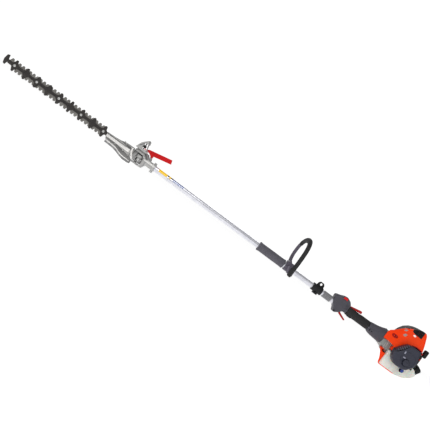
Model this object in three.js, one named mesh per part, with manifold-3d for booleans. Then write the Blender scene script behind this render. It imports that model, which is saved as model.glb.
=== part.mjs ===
// Petrol pole hedge trimmer: articulated cutter head, long shaft, loop handle, control handle and engine.
// Millimetres. +X runs along the shaft from the cutters to the engine, +Z is up.
// The shaft axis lies SHAFT_HEIGHT above the flat underside of the fuel tank. Every piece below is drawn
// from the shaft axis, and one group lifts the whole machine to its height.

import * as THREE from 'three';
import { mergeVertices } from 'three/addons/utils/BufferGeometryUtils.js';
import Module from 'manifold-3d';

const wasm = await Module();
wasm.setup();

// Driving dimensions
const SHAFT_HEIGHT = 102;
const GAP = 0.3;
// Brings the middle of the whole length and width over the origin.
const CENTRING = { x: 5.1, y: 7.25 };

const TUBE = { radius: 12.7, bore: 10.7, front: -398, rear: 866 };
const CLAMP_BORE = TUBE.radius + 0.2;
const DRIVE_RADIUS = 4;
const PIVOT_X = -428;
const BALL_RADIUS = 31;

const BLADE = {
  tip: -1160,
  root: -566,
  centre: -2.5,
  guardPitch: 61.9,
  guards: 9,
  firstGuard: -1117,
  studs: [0, 2, 4, 6, 8],
  firstTooth: -1140,
  toothPitch: 39,
  upperTeeth: 14,
  lowerTeeth: 13,
  toothTip: 8.5,
  barHalf: 9,
  toothReach: 24,
};

const LOOP_X = 411;
const CYLINDER = { x: 1020, bore: 20, outer: 24, fin: 30, base: 33, top: 97 };
const CRANK = { web: 22, caseHalf: 36 };
const TANK_HALF = 58;

// Geometry helpers
const X = 'x';
const Y = 'y';
const Z = 'z';

function rod(axis, start, length, radius, endRadius = radius, sides = 16) {
  const geometry = new THREE.CylinderGeometry(endRadius, radius, length, sides);
  geometry.translate(0, length / 2, 0);
  if (axis === X) geometry.rotateZ(-Math.PI / 2);
  if (axis === Z) geometry.rotateX(Math.PI / 2);
  return geometry.translate(...start);
}

function box(x0, x1, y0, y1, z0, z1) {
  const geometry = new THREE.BoxGeometry(x1 - x0, y1 - y0, z1 - z0);
  return geometry.translate((x0 + x1) / 2, (y0 + y1) / 2, (z0 + z1) / 2);
}

function shapeOf(points) {
  return new THREE.Shape(points.map(([x, y]) => new THREE.Vector2(x, y)));
}

// A side outline (x, z) given thickness from y0 to y1.
function slab(points, y0, y1, bevel = 0) {
  const geometry = new THREE.ExtrudeGeometry(shapeOf(points), {
    depth: y1 - y0 - 2 * bevel,
    bevelEnabled: bevel > 0,
    bevelThickness: bevel,
    bevelSize: bevel,
    bevelOffset: -bevel,
    bevelSegments: 1,
  });
  return geometry.rotateX(Math.PI / 2).translate(0, y1 - bevel, 0);
}

// A plan outline (x, y) given height from z0 to z1.
function plan(points, z0, z1) {
  const geometry = new THREE.ExtrudeGeometry(shapeOf(points), { depth: z1 - z0, bevelEnabled: false });
  return geometry.translate(0, 0, z0);
}

// A profile of [radius, z] pairs turned about the vertical line through x.
function turned(profile, x, y = 0, sides = 20) {
  const points = profile.map(([radius, z]) => new THREE.Vector2(radius, z));
  const geometry = new THREE.LatheGeometry(points, sides);
  return geometry.rotateX(Math.PI / 2).translate(x, y, 0);
}

function solid(geometry) {
  const bare = geometry.clone();
  bare.deleteAttribute('normal');
  bare.deleteAttribute('uv');
  const merged = mergeVertices(bare, 1e-4);
  return new wasm.Manifold(new wasm.Mesh({
    numProp: 3,
    vertProperties: new Float32Array(merged.attributes.position.array),
    triVerts: new Uint32Array(merged.index.array),
  }));
}

function geometryOf(manifold) {
  const mesh = manifold.getMesh();
  const geometry = new THREE.BufferGeometry();
  geometry.setAttribute('position', new THREE.BufferAttribute(new Float32Array(mesh.vertProperties), 3));
  geometry.setIndex(new THREE.BufferAttribute(new Uint32Array(mesh.triVerts), 1));
  return geometry;
}

function cut(base, ...tools) {
  return geometryOf(tools.reduce((left, tool) => left.subtract(solid(tool)), solid(base)));
}

function join(...pieces) {
  return geometryOf(pieces.map(solid).reduce((sum, piece) => sum.add(piece)));
}

function common(first, second) {
  return geometryOf(solid(first).intersect(solid(second)));
}

const FINISHES = {
  orange: [0xf04a12, 0.35, 0],
  red: [0xb80f14, 0.4, 0],
  black: [0x1c1c1e, 0.6, 0],
  rubber: [0x262626, 0.9, 0],
  darkGrey: [0x4b4a52, 0.6, 0],
  coverGrey: [0x3b3d49, 0.5, 0],
  sleeveGrey: [0x5a585f, 0.9, 0],
  ribbedGrey: [0x828285, 0.8, 0],
  castGrey: [0x8b8e8b, 0.5, 0.4],
  alloy: [0x9a9a9a, 0.4, 0.8],
  paleAlloy: [0xd9dade, 0.35, 0.6],
  steel: [0x74716e, 0.35, 0.9],
  bladeBlack: [0x1d1818, 0.5, 0.2],
  tank: [0xdcdcd2, 0.4, 0],
  blue: [0x1a3c96, 0.3, 0],
  filter: [0xd8cfa8, 0.9, 0],
};

function piece(group, name, geometry, finish) {
  const [color, roughness, metalness] = FINISHES[finish];
  const mesh = new THREE.Mesh(geometry, new THREE.MeshStandardMaterial({ color, roughness, metalness }));
  mesh.name = name;
  group.add(mesh);
  return mesh;
}

const machine = new THREE.Group();
const onShaft = new THREE.Group();
onShaft.position.set(CENTRING.x, CENTRING.y, SHAFT_HEIGHT);
machine.add(onShaft);

// Cutter bar

const guardX = (i) => BLADE.firstGuard + i * BLADE.guardPitch;

function bladeScrewHoles(radius, halfSlot, y0, y1) {
  const c = BLADE.centre;
  return BLADE.studs.map((i) => {
    const x = guardX(i);
    const ends = [-1, 1].map((side) => rod(Y, [x + side * halfSlot, y0, c], y1 - y0, radius, radius, 12));
    const middle = box(x - halfSlot, x + halfSlot, y0, y1, c - radius, c + radius);
    return halfSlot > 0 ? join(...ends, middle) : ends[0];
  });
}

function guardBar(y0, y1) {
  const c = BLADE.centre;
  const upper = [];
  const lower = [];
  for (let i = 0; i < BLADE.guards; i += 1) {
    const x = guardX(i);
    upper.push([x - 17, c + 8], [x - 4, c + 28], [x + 4, c + 28], [x + 17, c + 8]);
    lower.push([x - 17, c - 6], [x - 4, c - 28], [x + 4, c - 28], [x + 17, c - 6]);
  }
  const tip = [[BLADE.tip, c - 22], [BLADE.tip - 10, c - 20], [BLADE.tip - 16, c], [BLADE.tip - 12, c + 24],
    [BLADE.tip, c + 28], [BLADE.tip + 4, c + 8]];
  const rearEnd = [[BLADE.root - 8, c + 8], [BLADE.root - 8, c - 6]];
  const outline = [...tip, ...upper, ...rearEnd, ...lower.reverse(), [BLADE.tip + 4, c - 6]];
  return cut(slab(outline, y0, y1), ...bladeScrewHoles(3.3, 0, y0 - 1, y1 + 1));
}

// One cutter: a flat bar with a row of tapered teeth on each edge and a slot round each blade screw.
function cutter(phase, upperTeeth, y0, y1) {
  const c = BLADE.centre;
  const first = BLADE.firstTooth + phase;
  const upper = [];
  const lower = [];
  const tooth = (x, side) => [[x - 12, c + side * BLADE.barHalf], [x - BLADE.toothTip / 2, c + side * BLADE.toothReach],
    [x + BLADE.toothTip / 2, c + side * BLADE.toothReach], [x + 12, c + side * BLADE.barHalf]];
  for (let i = 0; i < upperTeeth; i += 1) upper.push(...tooth(first + i * BLADE.toothPitch, 1));
  for (let i = 0; i < BLADE.lowerTeeth; i += 1) lower.push(...tooth(first + (i + 0.5) * BLADE.toothPitch, -1));
  const start = first - 14;
  const outline = [[start, c - BLADE.barHalf], [start, c + BLADE.barHalf], ...upper, [-600, c + BLADE.barHalf],
    [-596, c + 5], [-562, c + 5], [-562, c - 5], [-596, c - 5], [-600, c - BLADE.barHalf], ...lower.reverse()];
  return cut(slab(outline, y0, y1), ...bladeScrewHoles(3.3, 13, y0 - 1, y1 + 1));
}

// The bar that carries the blades, with a riveted stud through every other guard.
function supportBar() {
  const c = BLADE.centre;
  const bar = slab([[-1166, c - 6], [-1166, c + 6], [-574, c + 7], [-574, c - 7]], 1.3, 5);
  const studs = BLADE.studs.flatMap((i) => [
    rod(Y, [guardX(i), -8.2, c], 1.9, 6, 6, 12),
    rod(Y, [guardX(i), -6.6, c], 10, 3, 3, 8),
  ]);
  return join(bar, ...studs);
}

function cutterBar(group) {
  piece(group, 'guard_bar', guardBar(-6, -3.4), 'bladeBlack');
  piece(group, 'front_cutter', cutter(0, BLADE.upperTeeth, -3.1, -1.2), 'steel');
  piece(group, 'rear_cutter', cutter(BLADE.toothPitch / 2, BLADE.upperTeeth - 1, -0.9, 1), 'steel');
  piece(group, 'support_bar', supportBar(), 'steel');
}

// Cutter head: gearcase, knuckle and steering arm

const GEARCASE = [[-600, -15], [-600, 8], [-560, 10], [-530, 13], [-510, 19], [-490, 21], [-465, 21],
  [-465, -28], [-480, -28], [-520, -21], [-560, -16]];

function gearcase() {
  const cavity = slab([[-556, -8], [-556, 5], [-526, 9], [-508, 15], [-472, 16], [-472, -22], [-486, -22],
    [-522, -15]], -14, 13);
  const mouth = box(-602, -550, -6.3, 5.3, -12.5, 7.2);
  const shaftHole = rod(X, [-475, 0, 0], 30, 5, 5, 16);
  const hub = box(-466, -450, -13, 13, -20, 16);
  const ballRoom = rod(Z, [PIVOT_X, 0, -40], 80, BALL_RADIUS + GAP, BALL_RADIUS + GAP, 20);
  return cut(join(slab(GEARCASE, -13, 17), hub), cavity, mouth, shaftHole, ballRoom);
}

function gearcaseCover() {
  return join(
    slab(GEARCASE, -16, -13 - GAP, 0.8),
    slab([[-598, -11], [-598, 0], [-500, 0], [-474, 2], [-474, -12]], -18.5, -15.5, 1),
  );
}

function knuckleBall() {
  const r = BALL_RADIUS;
  const shell = turned([[0, -26], [20, -26], [27, -20], [r, -9], [r, 4], [27, 15], [20, 22], [0, 22]], PIVOT_X);
  const inside = turned([[0, -20], [17, -20], [22, -14], [22, 10], [17, 16], [0, 16]], PIVOT_X);
  const window = [];
  for (let angle = -107; angle <= 62; angle += 13) {
    const turn = (angle * Math.PI) / 180;
    window.push([PIVOT_X + 60 * Math.cos(turn), 60 * Math.sin(turn)]);
  }
  const opening = plan([[PIVOT_X, 0], ...window], -15, 15);
  const shaftHole = rod(X, [-465, 0, 0], 30, 5, 5, 16);
  const boltHole = rod(Z, [PIVOT_X, 0, -30], 60, 7.4, 7.4, 16);
  return cut(shell, inside, opening, shaftHole, boltHole);
}

function indexDisc() {
  const holes = [];
  for (let step = -3; step <= 6; step += 1.5) {
    const turn = (-90 - step * 15) * (Math.PI / 180);
    holes.push(rod(Z, [PIVOT_X + 19 * Math.cos(turn), 19 * Math.sin(turn), 20], 10, 2.8, 2.8, 8));
  }
  const boltHole = rod(Z, [PIVOT_X, 0, 20], 10, 7.4, 7.4, 16);
  return cut(rod(Z, [PIVOT_X, 0, 22.3], 4.7, 30, 30, 20), boltHole, ...holes);
}

const STEERING_ARM = [[-592, -37], [-592, -23], [-545, -25], [-522, -29], [-502, -36], [-480, -38.5], [-448, -38.5],
  [-444, -27], [-432, -27], [-432, -36], [-446, -50], [-454, -53], [-480, -54], [-502, -50], [-522, -43], [-545, -38]];

function steeringArm() {
  const boss = slab([[-482, -44], [-482, -28.3], [-466, -28.3], [-466, -44]], -9, 9);
  return cut(
    join(slab(STEERING_ARM, -12, 12, 1.5), boss),
    rod(Z, [PIVOT_X, 0, -80], 80, BALL_RADIUS - 8, BALL_RADIUS - 8, 20),
    slab([[-500, -47], [-500, -42], [-464, -44], [-464, -49]], -14, -9),
  );
}

// Toothed wheel with short straight teeth.
function gear(axis, start, width, radius, teeth, hole = 0) {
  const root = radius - 1.4;
  const points = [];
  for (let i = 0; i < teeth; i += 1) {
    const pitch = (2 * Math.PI) / teeth;
    [[0.3, root], [0.42, radius], [0.78, radius], [0.9, root]].forEach(([part, r]) => {
      points.push([r * Math.cos((i + part) * pitch), r * Math.sin((i + part) * pitch)]);
    });
  }
  const geometry = plan(points, 0, width);
  if (axis === X) geometry.rotateY(Math.PI / 2);
  if (axis === Y) geometry.rotateX(-Math.PI / 2);
  geometry.translate(...start);
  const bore = rod(axis, start.map((value, i) => value - (axis === 'xyz'[i] ? 1 : 0)), width + 2, hole, hole, 16);
  return hole > 0 ? cut(geometry, bore) : geometry;
}

// Bevel wheel: a cone frustum with notched teeth, its small end towards the crossing point.
function bevel(axis, apex, side, near, far, teeth, notch = 1.2) {
  const start = [...apex];
  start['xyz'.indexOf(axis)] += side > 0 ? near : -far;
  const radii = side > 0 ? [near, far] : [far, near];
  const cone = rod(axis, start, far - near, radii[0] - 0.6, radii[1] - 0.6, teeth * 2);
  const slots = [];
  for (let i = 0; i < teeth; i += 1) {
    const slot = box(-1, 1, far - notch - 1.2, far + 2, -far - 2, far + 2);
    slot.rotateZ((i * 2 * Math.PI) / teeth);
    if (axis === X) slot.rotateY(Math.PI / 2);
    slots.push(slot.translate(...apex));
  }
  return cut(cone, ...slots);
}

function headBevelShaft() {
  return join(
    bevel(X, [PIVOT_X, 0, 0], -1, 8, 14, 12),
    rod(X, [-486, 0, 0], 52, DRIVE_RADIUS, DRIVE_RADIUS, 16),
    rod(X, [-491, 0, 0], 7, 9, 6, 16),
  );
}

function crankGear() {
  const x = -508;
  return join(
    gear(Y, [x, 4.8, 0], 4.5, 12.5, 16),
    rod(Y, [x + 4, -10, 0], 15, 6, 6, 20),
    rod(Y, [x, 9, 0], 3.5, 4, 4, 16),
    rod(Y, [x, -12.6, 0], 4, 4, 4, 16),
  );
}

function idlerBevel() {
  return join(
    bevel(Z, [PIVOT_X, 0, 0], -1, 8, 14, 12),
    rod(Z, [PIVOT_X, 0, -27], 15, 5, 5, 16),
  );
}

const LEVER_PIVOT = [-378.5, 23];
const LOCK_PIN_Y = -19;
const LOCK_KNOB = { radius: 7.5, bottom: 47.5, height: 11 };
// How far the squeezed lever lifts the lock pin, with a little to spare.
const LOCK_LIFT = 10;

function yokeClamp() {
  const cheek = slab([[-442, 28], [-442, 34], [-412, 35], [-394, 34], [-386, 16], [-338, 15.5], [-338, -15.5],
    [-384, -15.5], [-394, -36], [-408, -37], [-440, -37], [-440, -29]], -17, 17);
  const ears = [rod(Z, [PIVOT_X, 0, 28], 6, 27, 27, 20), rod(Z, [PIVOT_X, 0, -37], 8, 25, 25, 20)];
  const tower = slab([[-462, 31], [-456, 46], [-450, 60], [-443, 68], [-427, 84], [-421, 87], [-416, 84], [-411, 60],
    [-404, 38], [-400, 31]], -27, -10);
  const flange = slab([[-350, -26], [-350, 24], [-341, 24], [-341, -26]], -14, 14);
  const lug = [[-388, 12], [-388, 25], [-380, 29], [-374, 28], [-370, 12]];
  const body = join(cheek, ...ears, tower, flange, slab(lug, -14, -8.6), slab(lug, 8.6, 14));
  const sweep = turned([[0, -28.5], [31.6, -28.5], [31.6, 27.7], [0, 27.7]], PIVOT_X);
  const leverRoom = box(-386, -360, -8.6, 8.6, 15.8, 40);
  const tubeBore = rod(X, [-398.5, 0, 0], 80, CLAMP_BORE, CLAMP_BORE, 20);
  const shaftBore = rod(X, [-430, 0, 0], 40, 6, 6, 20);
  const boltBore = rod(Z, [PIVOT_X, 0, 20], 30, 6.3, 6.3, 16);
  const pinBore = rod(Z, [PIVOT_X, LOCK_PIN_Y, 20], 80, 2.9, 2.9, 12);
  const knobTop = LOCK_KNOB.bottom + LOCK_KNOB.height + LOCK_LIFT;
  const knobRoom = box(PIVOT_X - LOCK_KNOB.radius - 1, -395, -40, -8.5, 41, knobTop);
  const slit = box(-349.9, -330, -1.5, 1.5, -30, -5);
  const screwBore = rod(Y, [-345.5, -20, -20], 40, 2.3, 2.3, 10);
  const yoke = cut(body, sweep, leverRoom, tubeBore, shaftBore, boltBore, pinBore, knobRoom, slit, screwBore);
  const lowerPin = rod(Z, [PIVOT_X, 0, -34], 12, 7, 7, 20);
  const lowerBore = rod(Z, [PIVOT_X, 0, -34], 20, 5.4, 5.4, 16);
  const fulcrum = rod(Y, [LEVER_PIVOT[0], -14, LEVER_PIVOT[1]], 28, 2.2, 2.2, 12);
  return join(cut(join(yoke, lowerPin), lowerBore), fulcrum);
}

function pivotBolt() {
  return join(rod(Z, [PIVOT_X, 0, 18], 19, 6, 6, 20), rod(Z, [PIVOT_X, 0, 35.4], 5, 9, 9, 6));
}

// A screw across a clamp's slit, its head on the near side.
function clampScrew(x, z, reach) {
  return join(
    rod(Y, [x, -reach - 4, z], 3.7, 4, 4, 12),
    rod(Y, [x, -reach - 1, z], 2 * reach - 2, 2, 2, 10),
  );
}

function lockPin() {
  return join(
    rod(Z, [PIVOT_X, LOCK_PIN_Y, 27.9], 42.6, 2.5, 2.5, 12),
    rod(Z, [PIVOT_X, LOCK_PIN_Y, LOCK_KNOB.bottom], LOCK_KNOB.height, LOCK_KNOB.radius, LOCK_KNOB.radius, 20),
  );
}

function headLever() {
  const bar = slab([[-411, 43], [-412, 50], [-404, 55], [-296, 77], [-290, 58], [-374, 40], [-374.5, 19.5],
    [-383, 19.5], [-384, 32], [-396, 40]], -8, 8, 1);
  const nose = box(-423, -404, -24, -6, 42.5, 46.5);
  return cut(join(bar, nose), rod(Y, [LEVER_PIVOT[0], -20, LEVER_PIVOT[1]], 40, 2.5, 2.5, 12));
}

function cutterHead(group) {
  cutterBar(group);
  piece(group, 'gearcase', gearcase(), 'alloy');
  piece(group, 'gearcase_cover', gearcaseCover(), 'alloy');
  piece(group, 'knuckle_ball', knuckleBall(), 'alloy');
  piece(group, 'index_disc', indexDisc(), 'steel');
  piece(group, 'steering_arm', steeringArm(), 'alloy');
  piece(group, 'crank_gear', crankGear(), 'steel');
  piece(group, 'head_bevel_shaft', headBevelShaft(), 'steel');
  piece(group, 'idler_bevel', idlerBevel(), 'steel');
  piece(group, 'yoke_clamp', yokeClamp(), 'alloy');
  piece(group, 'pivot_bolt', pivotBolt(), 'steel');
  piece(group, 'yoke_screw', clampScrew(-345.5, -20, 14.5), 'steel');
  piece(group, 'lock_pin', lockPin(), 'black');
  piece(group, 'head_lever', headLever(), 'red');
}

// Pole with its sleeves, loop handle and harness clamp

function tubeOf(start, length, outer, inner, sides = 20) {
  const bore = rod(X, [start - 1, 0, 0], length + 2, inner, inner, sides);
  return cut(rod(X, [start, 0, 0], length, outer, outer, sides), bore);
}

function foamSleeve() {
  const profile = [[13, 243], [21, 243], [21.5, 248], [20.5, 256], [20.5, 374], [21.5, 380], [20, 384], [13, 384]];
  return turned([...profile, profile[0]], 0, 0, 16).rotateY(Math.PI / 2);
}

function ribbedSleeve() {
  const profile = [[13, 604], [15.5, 604]];
  for (let rib = 0; rib < 5; rib += 1) {
    const x = 607 + rib * 8;
    profile.push([15.5, x], [14.2, x + 3]);
  }
  profile.push([15.5, 647], [13, 647], [13, 604]);
  return turned(profile, 0, 0, 16).rotateY(Math.PI / 2);
}

// Centre line of the loop, seen along the shaft: [y, z] pairs from the clamp round to its free foot.
const LOOP_LINE = [[16, 20], [44, 32], [62, 58], [67, 92], [58, 124], [32, 146], [-6, 152], [-44, 142], [-67, 110],
  [-75, 66], [-75, 18], [-68, -30]];
const LOOP_LEAN = 0.12;
const GRIP_SPAN = [0.305, 1];
const LOOP_CURVE = new THREE.CatmullRomCurve3(
  LOOP_LINE.map(([y, z]) => new THREE.Vector3(LOOP_X - LOOP_LEAN * y, y, z)),
);

// A band swept along part of the loop; from and to are shares of its length.
function loopBand(from, to, halfX, halfOut, steps) {
  const share = (i) => from + ((to - from) * i) / 16;
  const path = new THREE.CatmullRomCurve3(Array.from({ length: 17 }, (_, i) => LOOP_CURVE.getPointAt(share(i))));
  const corner = 0.45;
  const section = shapeOf([[-halfOut, -halfX * corner], [-halfOut * corner, -halfX], [halfOut * corner, -halfX],
    [halfOut, -halfX * corner], [halfOut, halfX * corner], [halfOut * corner, halfX], [-halfOut * corner, halfX],
    [-halfOut, halfX * corner]]);
  return new THREE.ExtrudeGeometry(section, { steps, bevelEnabled: false, extrudePath: path });
}

function loopFrame() {
  const limb = loopBand(0, 0.3, 11, 7, 12);
  const saddle = rod(X, [LOOP_X - 20, 0, 0], 40, 21, 21, 16);
  const block = box(LOOP_X - 20, LOOP_X + 18, -18, 24, 8, 26);
  const web = slab([[LOOP_X - 14, 8], [LOOP_X + 20, 8], [LOOP_X + 22, -24], [LOOP_X + 2, -24]], -64, -10, 1);
  const bore = rod(X, [LOOP_X - 60, 0, 0], 120, CLAMP_BORE, CLAMP_BORE, 20);
  const gripRoom = loopBand(...GRIP_SPAN, 13 + GAP, 8.5 + GAP, 26);
  return cut(join(limb, saddle, block, web), bore, gripRoom);
}

function harnessClamp() {
  const ring = rod(X, [545, 0, 0], 50, 18, 18, 20);
  const eyePlate = slab([[556, 8], [560, 30], [567, 38], [583, 38], [590, 30], [594, 8]], -4, 4, 1);
  const foot = box(560, 582, -9, 9, -25, -8);
  const bore = rod(X, [540, 0, 0], 60, CLAMP_BORE, CLAMP_BORE, 20);
  const eye = rod(Y, [575, -10, 27], 20, 6, 6, 20);
  const slit = box(540, 600, -1.5, 1.5, -30, -10);
  const screwBore = rod(Y, [571, -20, -19.5], 40, 2.3, 2.3, 10);
  return cut(join(ring, eyePlate, foot), bore, eye, slit, screwBore);
}

function pole(group) {
  piece(group, 'shaft_tube', tubeOf(TUBE.front, TUBE.rear - TUBE.front, TUBE.radius, TUBE.bore), 'paleAlloy');
  const shaft = join(
    bevel(X, [PIVOT_X, 0, 0], 1, 8, 14, 12),
    rod(X, [PIVOT_X + 12, 0, 0], 886 - PIVOT_X - 12, DRIVE_RADIUS, DRIVE_RADIUS, 12),
  );
  piece(group, 'drive_shaft', shaft, 'steel');
  piece(group, 'foam_sleeve', foamSleeve(), 'sleeveGrey');
  piece(group, 'loop_frame', loopFrame(), 'darkGrey');
  piece(group, 'loop_grip', loopBand(...GRIP_SPAN, 13, 8.5, 26), 'rubber');
  piece(group, 'loop_screw', rod(Z, [LOOP_X - 12, 6, 26 + GAP], 3, 4, 4, 12), 'steel');
  piece(group, 'harness_clamp', harnessClamp(), 'black');
  piece(group, 'harness_screw', clampScrew(571, -19.5, 9.3), 'steel');
  piece(group, 'ribbed_sleeve', ribbedSleeve(), 'ribbedGrey');
}

// Control handle

const HANDLE = [[650, 30], [655, 37], [675, 42], [690, 49], [702, 52], [722, 43], [734, 30], [734, -13], [716, -14],
  [705, -27], [688, -38], [680, -38], [672, -20], [660, -8], [653, 14]];
const HANDLE_INSIDE = [[656, 28], [676, 37], [701, 46], [729, 28], [729, -8], [712, -10], [686, -31], [677, -16],
  [664, -5]];

function handleShell(side) {
  const outer = side < 0 ? slab(HANDLE, -19, -GAP / 2, 0) : slab(HANDLE, GAP / 2, 19, 0);
  const inner = slab(HANDLE_INSIDE, -16, 16);
  const bore = rod(X, [640, 0, 0], 120, CLAMP_BORE, CLAMP_BORE, 20);
  const triggerSlot = box(697, 740, -6, 6, -34, -6);
  const lockoutSlot = box(722, 740, -7, 7, 18, 46);
  const hook = rod(Y, [657.5, -30, 33.5], 60, 2, 2, 10);
  const switchSlot = box(690, 709, -25, -10, 39.5, 43.5);
  const screwBore = rod(Y, [682, -30, -32], 20, 2.4, 2.4, 10);
  const pivotBore = rod(Y, [708, -9.4, -21.5], 18.8, 3.3, 3.3, 14);
  return cut(outer, inner, bore, triggerSlot, lockoutSlot, hook, switchSlot, screwBore, pivotBore);
}

function handleScrew() {
  return join(rod(Y, [682, -21.2, -32], 1.9, 3.8, 3.8, 12), rod(Y, [682, -20, -32], 7, 2, 2, 10));
}

function rearGrip() {
  const grip = rod(X, [736, 0, 0], 116, 20.5, 19).scale(1, 0.88, 1).translate(0, 0, 4.5);
  const bump = slab([[742, -8], [750, -19], [766, -19], [778, -8]], -9, 9, 1);
  const bore = rod(X, [730, 0, 0], 140, CLAMP_BORE, CLAMP_BORE, 20);
  const lockoutRoom = box(730, 800, -7, 7, 20.5, 40);
  const pivotRoom = box(730, 742, -7, 7, 14, 40);
  return cut(join(grip, bump), bore, lockoutRoom, pivotRoom);
}

function throttleTrigger() {
  const lever = slab([[704, -19], [712, -19], [722, -25], [752, -38], [749, -44], [716, -32], [704, -25]], -5, 5, 1);
  return join(lever, rod(Y, [708, -9, -21.5], 18, 3, 3, 14));
}

function lockoutLever() {
  return slab([[737, 22], [741, 28], [793, 37], [796, 30], [790, 27.5], [744, 23.5], [740, 21.5]], -6, 6, 1);
}

function stopSwitch() {
  return join(box(690.3, 703, -21, -12, 39.8, 43.2), box(687, 706, -24, -19.3, 37, 47));
}

function controlHandle(group) {
  piece(group, 'handle_shell_left', handleShell(-1), 'black');
  piece(group, 'handle_shell_right', handleShell(1), 'black');
  piece(group, 'handle_screw', handleScrew(), 'steel');
  piece(group, 'rear_grip', rearGrip(), 'rubber');
  piece(group, 'throttle_trigger', throttleTrigger(), 'red');
  piece(group, 'lockout_lever', lockoutLever(), 'red');
  piece(group, 'stop_switch', stopSwitch(), 'red');
}

// Engine

function clutchCone() {
  const outer = rod(X, [854, 0, 8.5], 76, 20, 37, 20);
  const drumRoom = rod(X, [908, 0, 0], 40, 21.5, 21.5, 20);
  const hubRoom = rod(X, [884, 0, 0], 30, 9, 9, 16);
  const bore = rod(X, [850, 0, 0], 40, CLAMP_BORE, CLAMP_BORE, 20);
  return cut(outer, drumRoom, hubRoom, bore);
}

function clutchDrum() {
  const drum = rod(X, [911, 0, 0], 18, 20, 20, 20);
  const hub = rod(X, [886 + GAP, 0, 0], 26, 7, 7, 20);
  return cut(join(drum, hub), rod(X, [914, 0, 0], 30, 18, 18, 20));
}

function clutchShoes() {
  const split = box(916, 930, -1, 1, -30, 30);
  const ring = cut(rod(X, [917, 0, 0], 10, 17, 17, 20), rod(X, [916, 0, 0], 12, 9, 9, 16), split);
  const carrier = cut(rod(X, [917, 0, 0], 4, 12, 12, 16), rod(X, [916, 0, 0], 12, 6.3, 6.3, 16));
  return join(ring, carrier);
}

const HOUSING_SIDE = [[930.3, -28], [930.3, 3], [942.4, 4.5], [942.4, 42], [985, 42], [985, -48], [968, -48],
  [958, -38], [945, -33]];

function clutchHousing() {
  const body = slab(HOUSING_SIDE, -34, 34, 2);
  const drumRoom = rod(X, [930, 0, 0], 4, 22, 22, 20);
  const shaftRoom = rod(X, [930, 0, 0], 70, 10, 10, 16);
  return cut(body, drumRoom, shaftRoom);
}

function crankcase() {
  const body = box(985.4, 1056, -CRANK.caseHalf, CRANK.caseHalf, -34, 32.4);
  const webRoom = rod(X, [1004, 0, 0], 32, 26, 26, 20);
  const shaftRoom = rod(X, [980, 0, 0], 90, 8.3, 8.3, 16);
  const mouth = rod(Z, [CYLINDER.x, 0, 10], 30, CYLINDER.bore + 0.5, CYLINDER.bore + 0.5, 20);
  return cut(body, webRoom, shaftRoom, mouth);
}

function crankshaft() {
  const web = (x) => cut(rod(X, [x, 0, 0], 8, CRANK.web, CRANK.web, 20), box(x - 1, x + 9, 8, 30, -30, 30));
  return join(
    rod(X, [915.5, 0, 0], 92, 6, 6, 20),
    web(1006),
    web(1026),
    rod(X, [1010, 0, 14], 20, 5, 5, 16),
    rod(X, [1030, 0, 0], 66, 8, 8, 20),
  );
}

function piston() {
  const crown = rod(Z, [CYLINDER.x, 0, 50], 24, CYLINDER.bore - 0.25, CYLINDER.bore - 0.25, 20);
  const rodPlate = slab([[1016, 31], [1024, 31], [1023, 52], [1017, 52]], -5, 5);
  return join(crown, rodPlate);
}

function cylinder() {
  const fins = [];
  const { x, fin, base, top, outer, bore } = CYLINDER;
  for (let z = 46; z <= top - 14; z += 9) fins.push(box(x - fin, x + fin, -fin, fin, z, z + 2.5));
  const barrel = rod(Z, [x, 0, base], top - base, outer, outer, 20);
  const pistonRoom = rod(Z, [x, 0, base - 5], top - base, bore, bore, 20);
  const plugHole = rod(Z, [x, 0, 90], 20, 5.4, 5.4, 16);
  const intake = box(1009, 1031, -54, -15, 40, 62);
  const exhaust = box(1006, 1034, 15, 36, 48, 72);
  const intakePort = rod(Y, [1020, -60, 51], 45, 6, 6, 16);
  const exhaustPort = rod(Y, [1020, 16, 60], 25, 7, 7, 16);
  return cut(join(barrel, intake, exhaust, ...fins), pistonRoom, plugHole, intakePort, exhaustPort);
}

function sparkPlug() {
  return join(
    rod(Z, [CYLINDER.x, 0, 85], 12.5, 5, 5, 12),
    rod(Z, [CYLINDER.x, 0, CYLINDER.top + GAP], 5, 8, 8, 6),
    rod(Z, [CYLINDER.x, 0, 102], 6, 4.5, 4.5, 12),
  );
}

const COVER = [[939, 46], [939, 56], [945, 62], [956, 77], [972, 91], [990, 101], [1009, 111], [1028, 121],
  [1046, 128], [1070, 128], [1077, 120], [1088, 84], [1096, 50], [1086, 54], [1063, 56], [1044, 52], [1031, 44],
  [1019, 33], [1004, 18], [992, 4], [980, -6], [976, -1], [950, 4], [939, 5]];
const COVER_INSIDE = [[942, 0], [942, 42], [942, 53], [948, 60], [960, 74], [975, 87], [993, 97], [1012, 107],
  [1030, 117], [1047, 124], [1067, 124], [1073, 117], [1084, 84], [1094, 40], [1096, -20], [940, -20]];
const GRILLE = [[1012, 100], [1030, 95], [1063, 94], [1063, 135], [1012, 135]];

function cylinderCover() {
  const width = plan([[930, -40], [990, -60], [1110, -60], [1110, 30], [930, 30]], -50, 150);
  const outer = common(slab(COVER, -60, 30, 2), width);
  const lift = slab(COVER_INSIDE, -57, 40);
  const plainSide = slab([[900, -30], [900, 30], [1110, 48], [1110, -30]], -30, 40);
  return cut(outer, lift, plainSide, slab(GRILLE, -70, 40));
}

function coverGrille() {
  const opening = GRILLE.map(([x, z]) => [x + (x > CYLINDER.x + 20 ? -GAP : GAP), z + GAP]);
  const outer = common(slab(COVER, -59, 29, 2), slab(opening, -70, 40));
  const inside = slab([[1005, 80], [1005, 108], [1032, 117.5], [1047, 123.5], [1070, 123.5], [1070, 80]], -56, 40);
  const slots = [];
  for (let x = 1019; x < 1062; x += 8) slots.push(box(x, x + 3.5, -50, 22, 100, 140));
  return cut(outer, inside, ...slots);
}

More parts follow.
